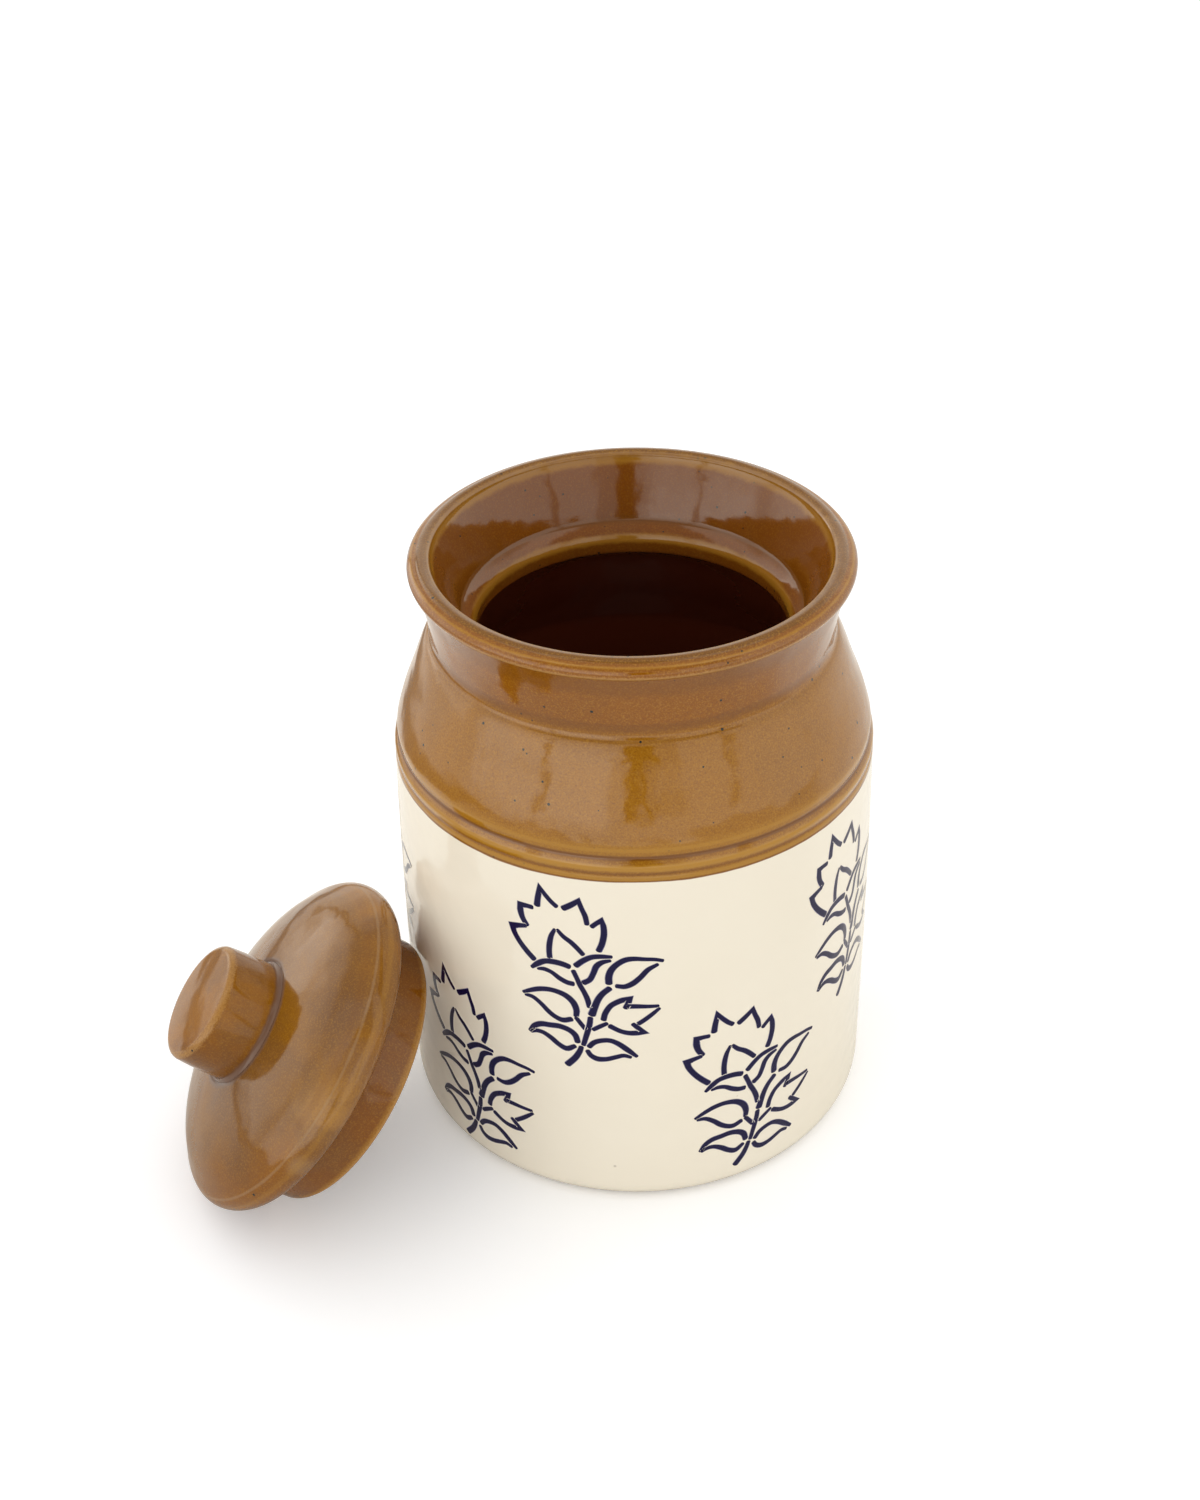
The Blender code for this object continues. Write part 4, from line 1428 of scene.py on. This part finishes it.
# A gap's ends are softer than its sides by this factor, and it widens by this share between two elevations
GAP_END_SOFTNESS = 2.5
GAP_FLARE = 0.35
GAP_FLARE_ELEVATIONS = (8.0, -4.0)
HALF_TURN = 180.0

# What lights the object: its level, what is added round an azimuth at the left, whose half width and
# softness follow, and what the camera sees beside it
OBJECT_LIGHT = 0.98
LEFT_LIGHT = 0.20
LEFT_AZIMUTH = -110.0
LEFT_HALF_WIDTH = 40.0
LEFT_SOFTNESS = 30.0
BACKDROP_LIGHT = 0.1

WHITE = (1.0, 1.0, 1.0, 1.0)
# The floor as it lights the object, and as the glaze reflects it: under the object, nearer the camera and
# in the strip at the left where the paper ends
PAPER = (0.92, 0.92, 0.92, 1.0)
REFLECTED_PAPER = (1.0, 0.97, 0.90, 1.0)
REFLECTED_FRONT = (0.64, 0.62, 0.57, 1.0)
REFLECTED_EDGE = (0.30, 0.28, 0.26, 1.0)
# Where the front begins and is full, along Y, and where the strip begins, is full and ends, along X less Y
FRONT_CHANGE = (0.03, -0.08)
EDGE_STRIP = (-0.66, -0.50, -0.42, -0.38)
PAPER_GLOW = 0.16


def floor_material():
    """Pale paper that keeps the soft shadow, shows as white and is darker in places in the glaze."""
    material, t, shader = new_material("pale_floor")
    rays = t.add("ShaderNodeLightPath").outputs
    seen = t.math("MAXIMUM", rays["Is Camera Ray"], rays["Is Transmission Ray"])
    parts = t.add("ShaderNodeSeparateXYZ", t.add("ShaderNodeTexCoord").outputs["Object"]).outputs
    reflected = t.mix(t.smooth_step(parts[1], *FRONT_CHANGE), REFLECTED_PAPER, REFLECTED_FRONT)
    strip = t.plateau(t.minus(parts[0], parts[1]), *EDGE_STRIP)
    reflected = t.mix(strip, reflected, REFLECTED_EDGE)
    paper = t.mix(rays["Is Glossy Ray"], PAPER, reflected)
    t.feed(shader, "Base Color", t.mix(seen, paper, WHITE))
    t.feed(shader, "Emission Strength", t.times(seen, PAPER_GLOW))
    t.feed(shader, "Emission Color", WHITE)
    t.feed(shader, "Roughness", 1.0)
    t.feed(shader, "Specular IOR Level", 0.0)
    return material


def near(t, offset, half_width, softness):
    """1 where an offset in degrees is within the half width, falling to 0 over the softness."""
    return t.smooth_step(t.minus(t.math("ABSOLUTE", offset), half_width), softness, 0.0)


def reflected_light(t, azimuth, elevation):
    """The panels, gaps and stretches round the studio, as the glaze reflects them."""
    light = PANEL_LIGHT
    for centre, half, side, begins, full, still_full, ends, added in STUDIO_LIGHTS:
        offset = t.math("WRAP", t.minus(azimuth, centre), HALF_TURN, -HALF_TURN)
        across = near(t, offset, half, side)
        up = t.plateau(elevation, begins, full, still_full, ends)
        light = t.plus(light, t.times(t.times(across, up), added))
    flare = t.times(t.smooth_step(elevation, *GAP_FLARE_ELEVATIONS), GAP_FLARE)
    for centre, half, low, high, softness, dark in STUDIO_GAPS:
        across = near(t, t.minus(azimuth, centre), t.times(t.plus(flare, 1.0), half), softness)
        end = GAP_END_SOFTNESS * softness
        up = t.plateau(elevation, low - end, low, high, high + end)
        gap = t.times(t.times(across, up), dark)
        light = t.times(light, t.minus(1.0, gap))
    return light


def studio_light(strength):
    """White light all round, a little stronger from the left, and panels that only the glaze shows."""
    world = bpy.data.worlds.new("studio_light")
    world.use_nodes = True
    t = Tree(world.node_tree)
    direction = t.add("ShaderNodeTexCoord").outputs["Generated"]
    parts = t.add("ShaderNodeSeparateXYZ", direction).outputs
    waver = t.times(t.minus(t.noise(direction, WAVER_SCALE, detail=2.0), NOISE_MIDDLE), WAVER_ANGLE)
    azimuth = t.math("DEGREES", t.math("ARCTAN2", parts[0], t.times(parts[1], -1.0)))
    azimuth = t.plus(azimuth, waver)
    elevation = t.plus(t.math("DEGREES", t.math("ARCSINE", parts[2])), waver)
    reflected = reflected_light(t, azimuth, elevation)
    rays = t.add("ShaderNodeLightPath").outputs
    leftward = near(t, t.minus(azimuth, LEFT_AZIMUTH), LEFT_HALF_WIDTH, LEFT_SOFTNESS)
    lit = t.plus(OBJECT_LIGHT, t.times(leftward, LEFT_LIGHT))
    lit = t.plus(lit, t.times(rays["Is Camera Ray"], BACKDROP_LIGHT))
    level = t.mix(rays["Is Glossy Ray"], lit, reflected, "FLOAT")
    background = world.node_tree.nodes["Background"]
    t.feed(background, "Color", t.mix(rays["Is Glossy Ray"], WHITE, PANEL_COLOUR))
    t.feed(background, "Strength", t.times(level, strength))
    return world


# Operators

# The camera's sensor in millimetres, and the nearest that it shows in metres
SENSOR_WIDTH = 36.0
NEAREST_SEEN = 0.01
# How many sides each turned piece has
JAR_SIDES = 240
LID_SIDES = 220
KNOB_SIDES = 160


def settings():
    """The sizes and looks that a user may change."""
    return bpy.context.scene.storage_jar


class JAR_OT_camera(bpy.types.Operator):
    """Stand the camera where it looks down into the jar's mouth"""

    bl_idname = "jar.camera"
    bl_label = "Stand the camera"

    def execute(self, context):
        look = settings().studio
        yaw, pitch, roll = look.camera_yaw, look.camera_pitch, look.camera_roll
        ahead = Vector((math.sin(yaw) * math.cos(pitch), math.cos(yaw) * math.cos(pitch), -math.sin(pitch)))
        level = Vector((math.cos(yaw), -math.sin(yaw), 0.0))
        above = level.cross(ahead)
        right = math.cos(roll) * level + math.sin(roll) * above
        up = -math.sin(roll) * level + math.cos(roll) * above
        data = bpy.data.cameras.new("camera")
        data.sensor_width = SENSOR_WIDTH
        data.lens = look.focal_length
        data.clip_start = NEAREST_SEEN
        camera = in_scene("camera", data)
        turn = Matrix((right, up, -ahead)).transposed().to_4x4()
        camera.matrix_world = Matrix.Translation(look.camera_place) @ turn
        context.scene.camera = camera
        return {"FINISHED"}


class JAR_OT_stage(bpy.types.Operator):
    """Lay the pale floor and set up the studio's soft white light"""

    bl_idname = "jar.stage"
    bl_label = "Lay the stage"

    def execute(self, context):
        look = settings().studio
        mesh = bpy.data.meshes.new("floor")
        half = look.floor_size / 2
        corners = [(-half, -half, 0), (half, -half, 0), (half, half, 0), (-half, half, 0)]
        mesh.from_pydata(corners, [], [(0, 1, 2, 3)])
        mesh.materials.append(floor_material())
        floor = in_scene("floor", mesh)
        context.scene.world = studio_light(look.light)
        context.scene.view_settings.view_transform = "Standard"
        return {"FINISHED"}


class JAR_OT_jar(bpy.types.Operator):
    """Turn the jar's body and glaze it in two tones"""

    bl_idname = "jar.body"
    bl_label = "Turn the jar"

    def execute(self, context):
        sizes, look = settings().jar, settings().glaze
        material = glazed_material("two_tone_glaze", jar_colours(look, sizes), index=1.60)
        outline = jar_outline(sizes)
        piece = turned("glazed_jar", outline, relief_along(outline, RELIEF_REACH), material, JAR_SIDES)
        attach(piece, "jar")
        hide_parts(JAR_NODE)
        return {"FINISHED"}


class JAR_OT_lid(bpy.types.Operator):
    """Turn the lid and its knob and lean them on the jar"""

    bl_idname = "jar.lid"
    bl_label = "Turn the lid and knob"

    def execute(self, context):
        lid, knob, look = settings().lid, settings().knob, settings().glaze
        stand = {"place": lid.centre, "turn": (0.0, math.pi / 2 - lid.lean, lid.turn)}
        on_knob, on_lid = relief_of_lid(lid, knob, RELIEF_REACH)
        colours = lid_colours(
            look, lid, knob, look.lid_amber, cloud_scale=45.0, cloud_amount=0.65, shaded_side=(0.026, 0.044)
        )
        material = glazed_material("lid_glaze_finish", colours, index=1.48)
        cover = turned("glazed_lid", lid_outline(lid, knob), on_lid, material, LID_SIDES, **stand)
        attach(cover, "lid")
        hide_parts(LID_NODE)
        colours = lid_colours(
            look, lid, knob, look.knob_amber, cloud_scale=60.0, cloud_amount=0.55, shaded_side=(0.007, 0.016)
        )
        material = glazed_material("knob_glaze_finish", colours, index=1.45)
        grip = turned("glazed_knob", knob_outline(lid, knob), on_knob, material, KNOB_SIDES, **stand)
        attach(grip, "lid")
        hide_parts(KNOB_NODE)
        return {"FINISHED"}


class JAR_OT_print(bpy.types.Operator):
    """Print the two rows of sprigs on the cream wall"""

    bl_idname = "jar.sprigs"
    bl_label = "Print the sprigs"

    def execute(self, context):
        sizes, look = settings().jar, settings().glaze
        spots = [
            (math.radians(bearing) * sizes.body_radius, 0.0, height)
            for bearing, height in (*UPPER_ROW, *LOWER_ROW)
        ]
        mesh = bpy.data.meshes.new("sprig_places")
        mesh.from_pydata(spots, [], [])
        places = in_scene("sprig_places", mesh)
        sprigs = made_by(
            printing_tree(),
            sprig_drawing(),
            "printed_sprigs",
            places=places,
            wall=bpy.data.objects["glazed_jar"],
            wall_radius=sizes.body_radius,
            ink=glazed_material("blue_print", ink_colours(look), index=1.34),
        )
        bpy.data.objects.remove(places)
        face_outwards(sprigs)
        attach(sprigs, "jar")
        return {"FINISHED"}


class JAR_PT_panel(bpy.types.Panel):
    """Lists the steps and sizes of the jar"""

    bl_idname = "JAR_PT_panel"
    bl_label = "Storage jar"
    bl_space_type = "VIEW_3D"
    bl_region_type = "UI"
    bl_category = "Jar"

    def draw(self, context):
        for step in STEPS:
            self.layout.operator(step.bl_idname)
        chosen = settings()
        for group in (chosen.jar, chosen.lid, chosen.knob, chosen.glaze, chosen.studio):
            box = self.layout.box()
            for name in group.__annotations__:
                box.prop(group, name)


class StorageJar(bpy.types.PropertyGroup):
    """Everything that a user may change."""

    jar: bpy.props.PointerProperty(type=JarSizes, name="Jar", description="Sizes of the jar")
    lid: bpy.props.PointerProperty(type=LidSizes, name="Lid", description="Sizes and place of the lid")
    knob: bpy.props.PointerProperty(type=KnobSizes, name="Knob", description="Sizes of the knob")
    glaze: bpy.props.PointerProperty(type=GlazeLook, name="Glaze", description="Colours of the glazes")
    studio: bpy.props.PointerProperty(type=StudioLook, name="Studio", description="Floor, light and camera")


STEPS = (JAR_OT_camera, JAR_OT_stage, JAR_OT_jar, JAR_OT_lid, JAR_OT_print)
CLASSES = (JarSizes, LidSizes, KnobSizes, GlazeLook, StudioLook, StorageJar, *STEPS, JAR_PT_panel)


def register():
    """Makes the classes and the settings known to Blender."""
    for cls in CLASSES:
        bpy.utils.register_class(cls)
    bpy.types.Scene.storage_jar = bpy.props.PointerProperty(
        type=StorageJar, name="Storage jar", description="Sizes and looks of the storage jar"
    )


def unregister():
    """Takes the settings and the classes out again."""
    del bpy.types.Scene.storage_jar
    for cls in reversed(CLASSES):
        bpy.utils.unregister_class(cls)


def main():
    """Makes the whole scene."""
    register()
    steps = bpy.ops.jar
    for step in (steps.camera, steps.stage, steps.body, steps.lid, steps.sprigs):
        step()


if __name__ == "__main__":
    main()
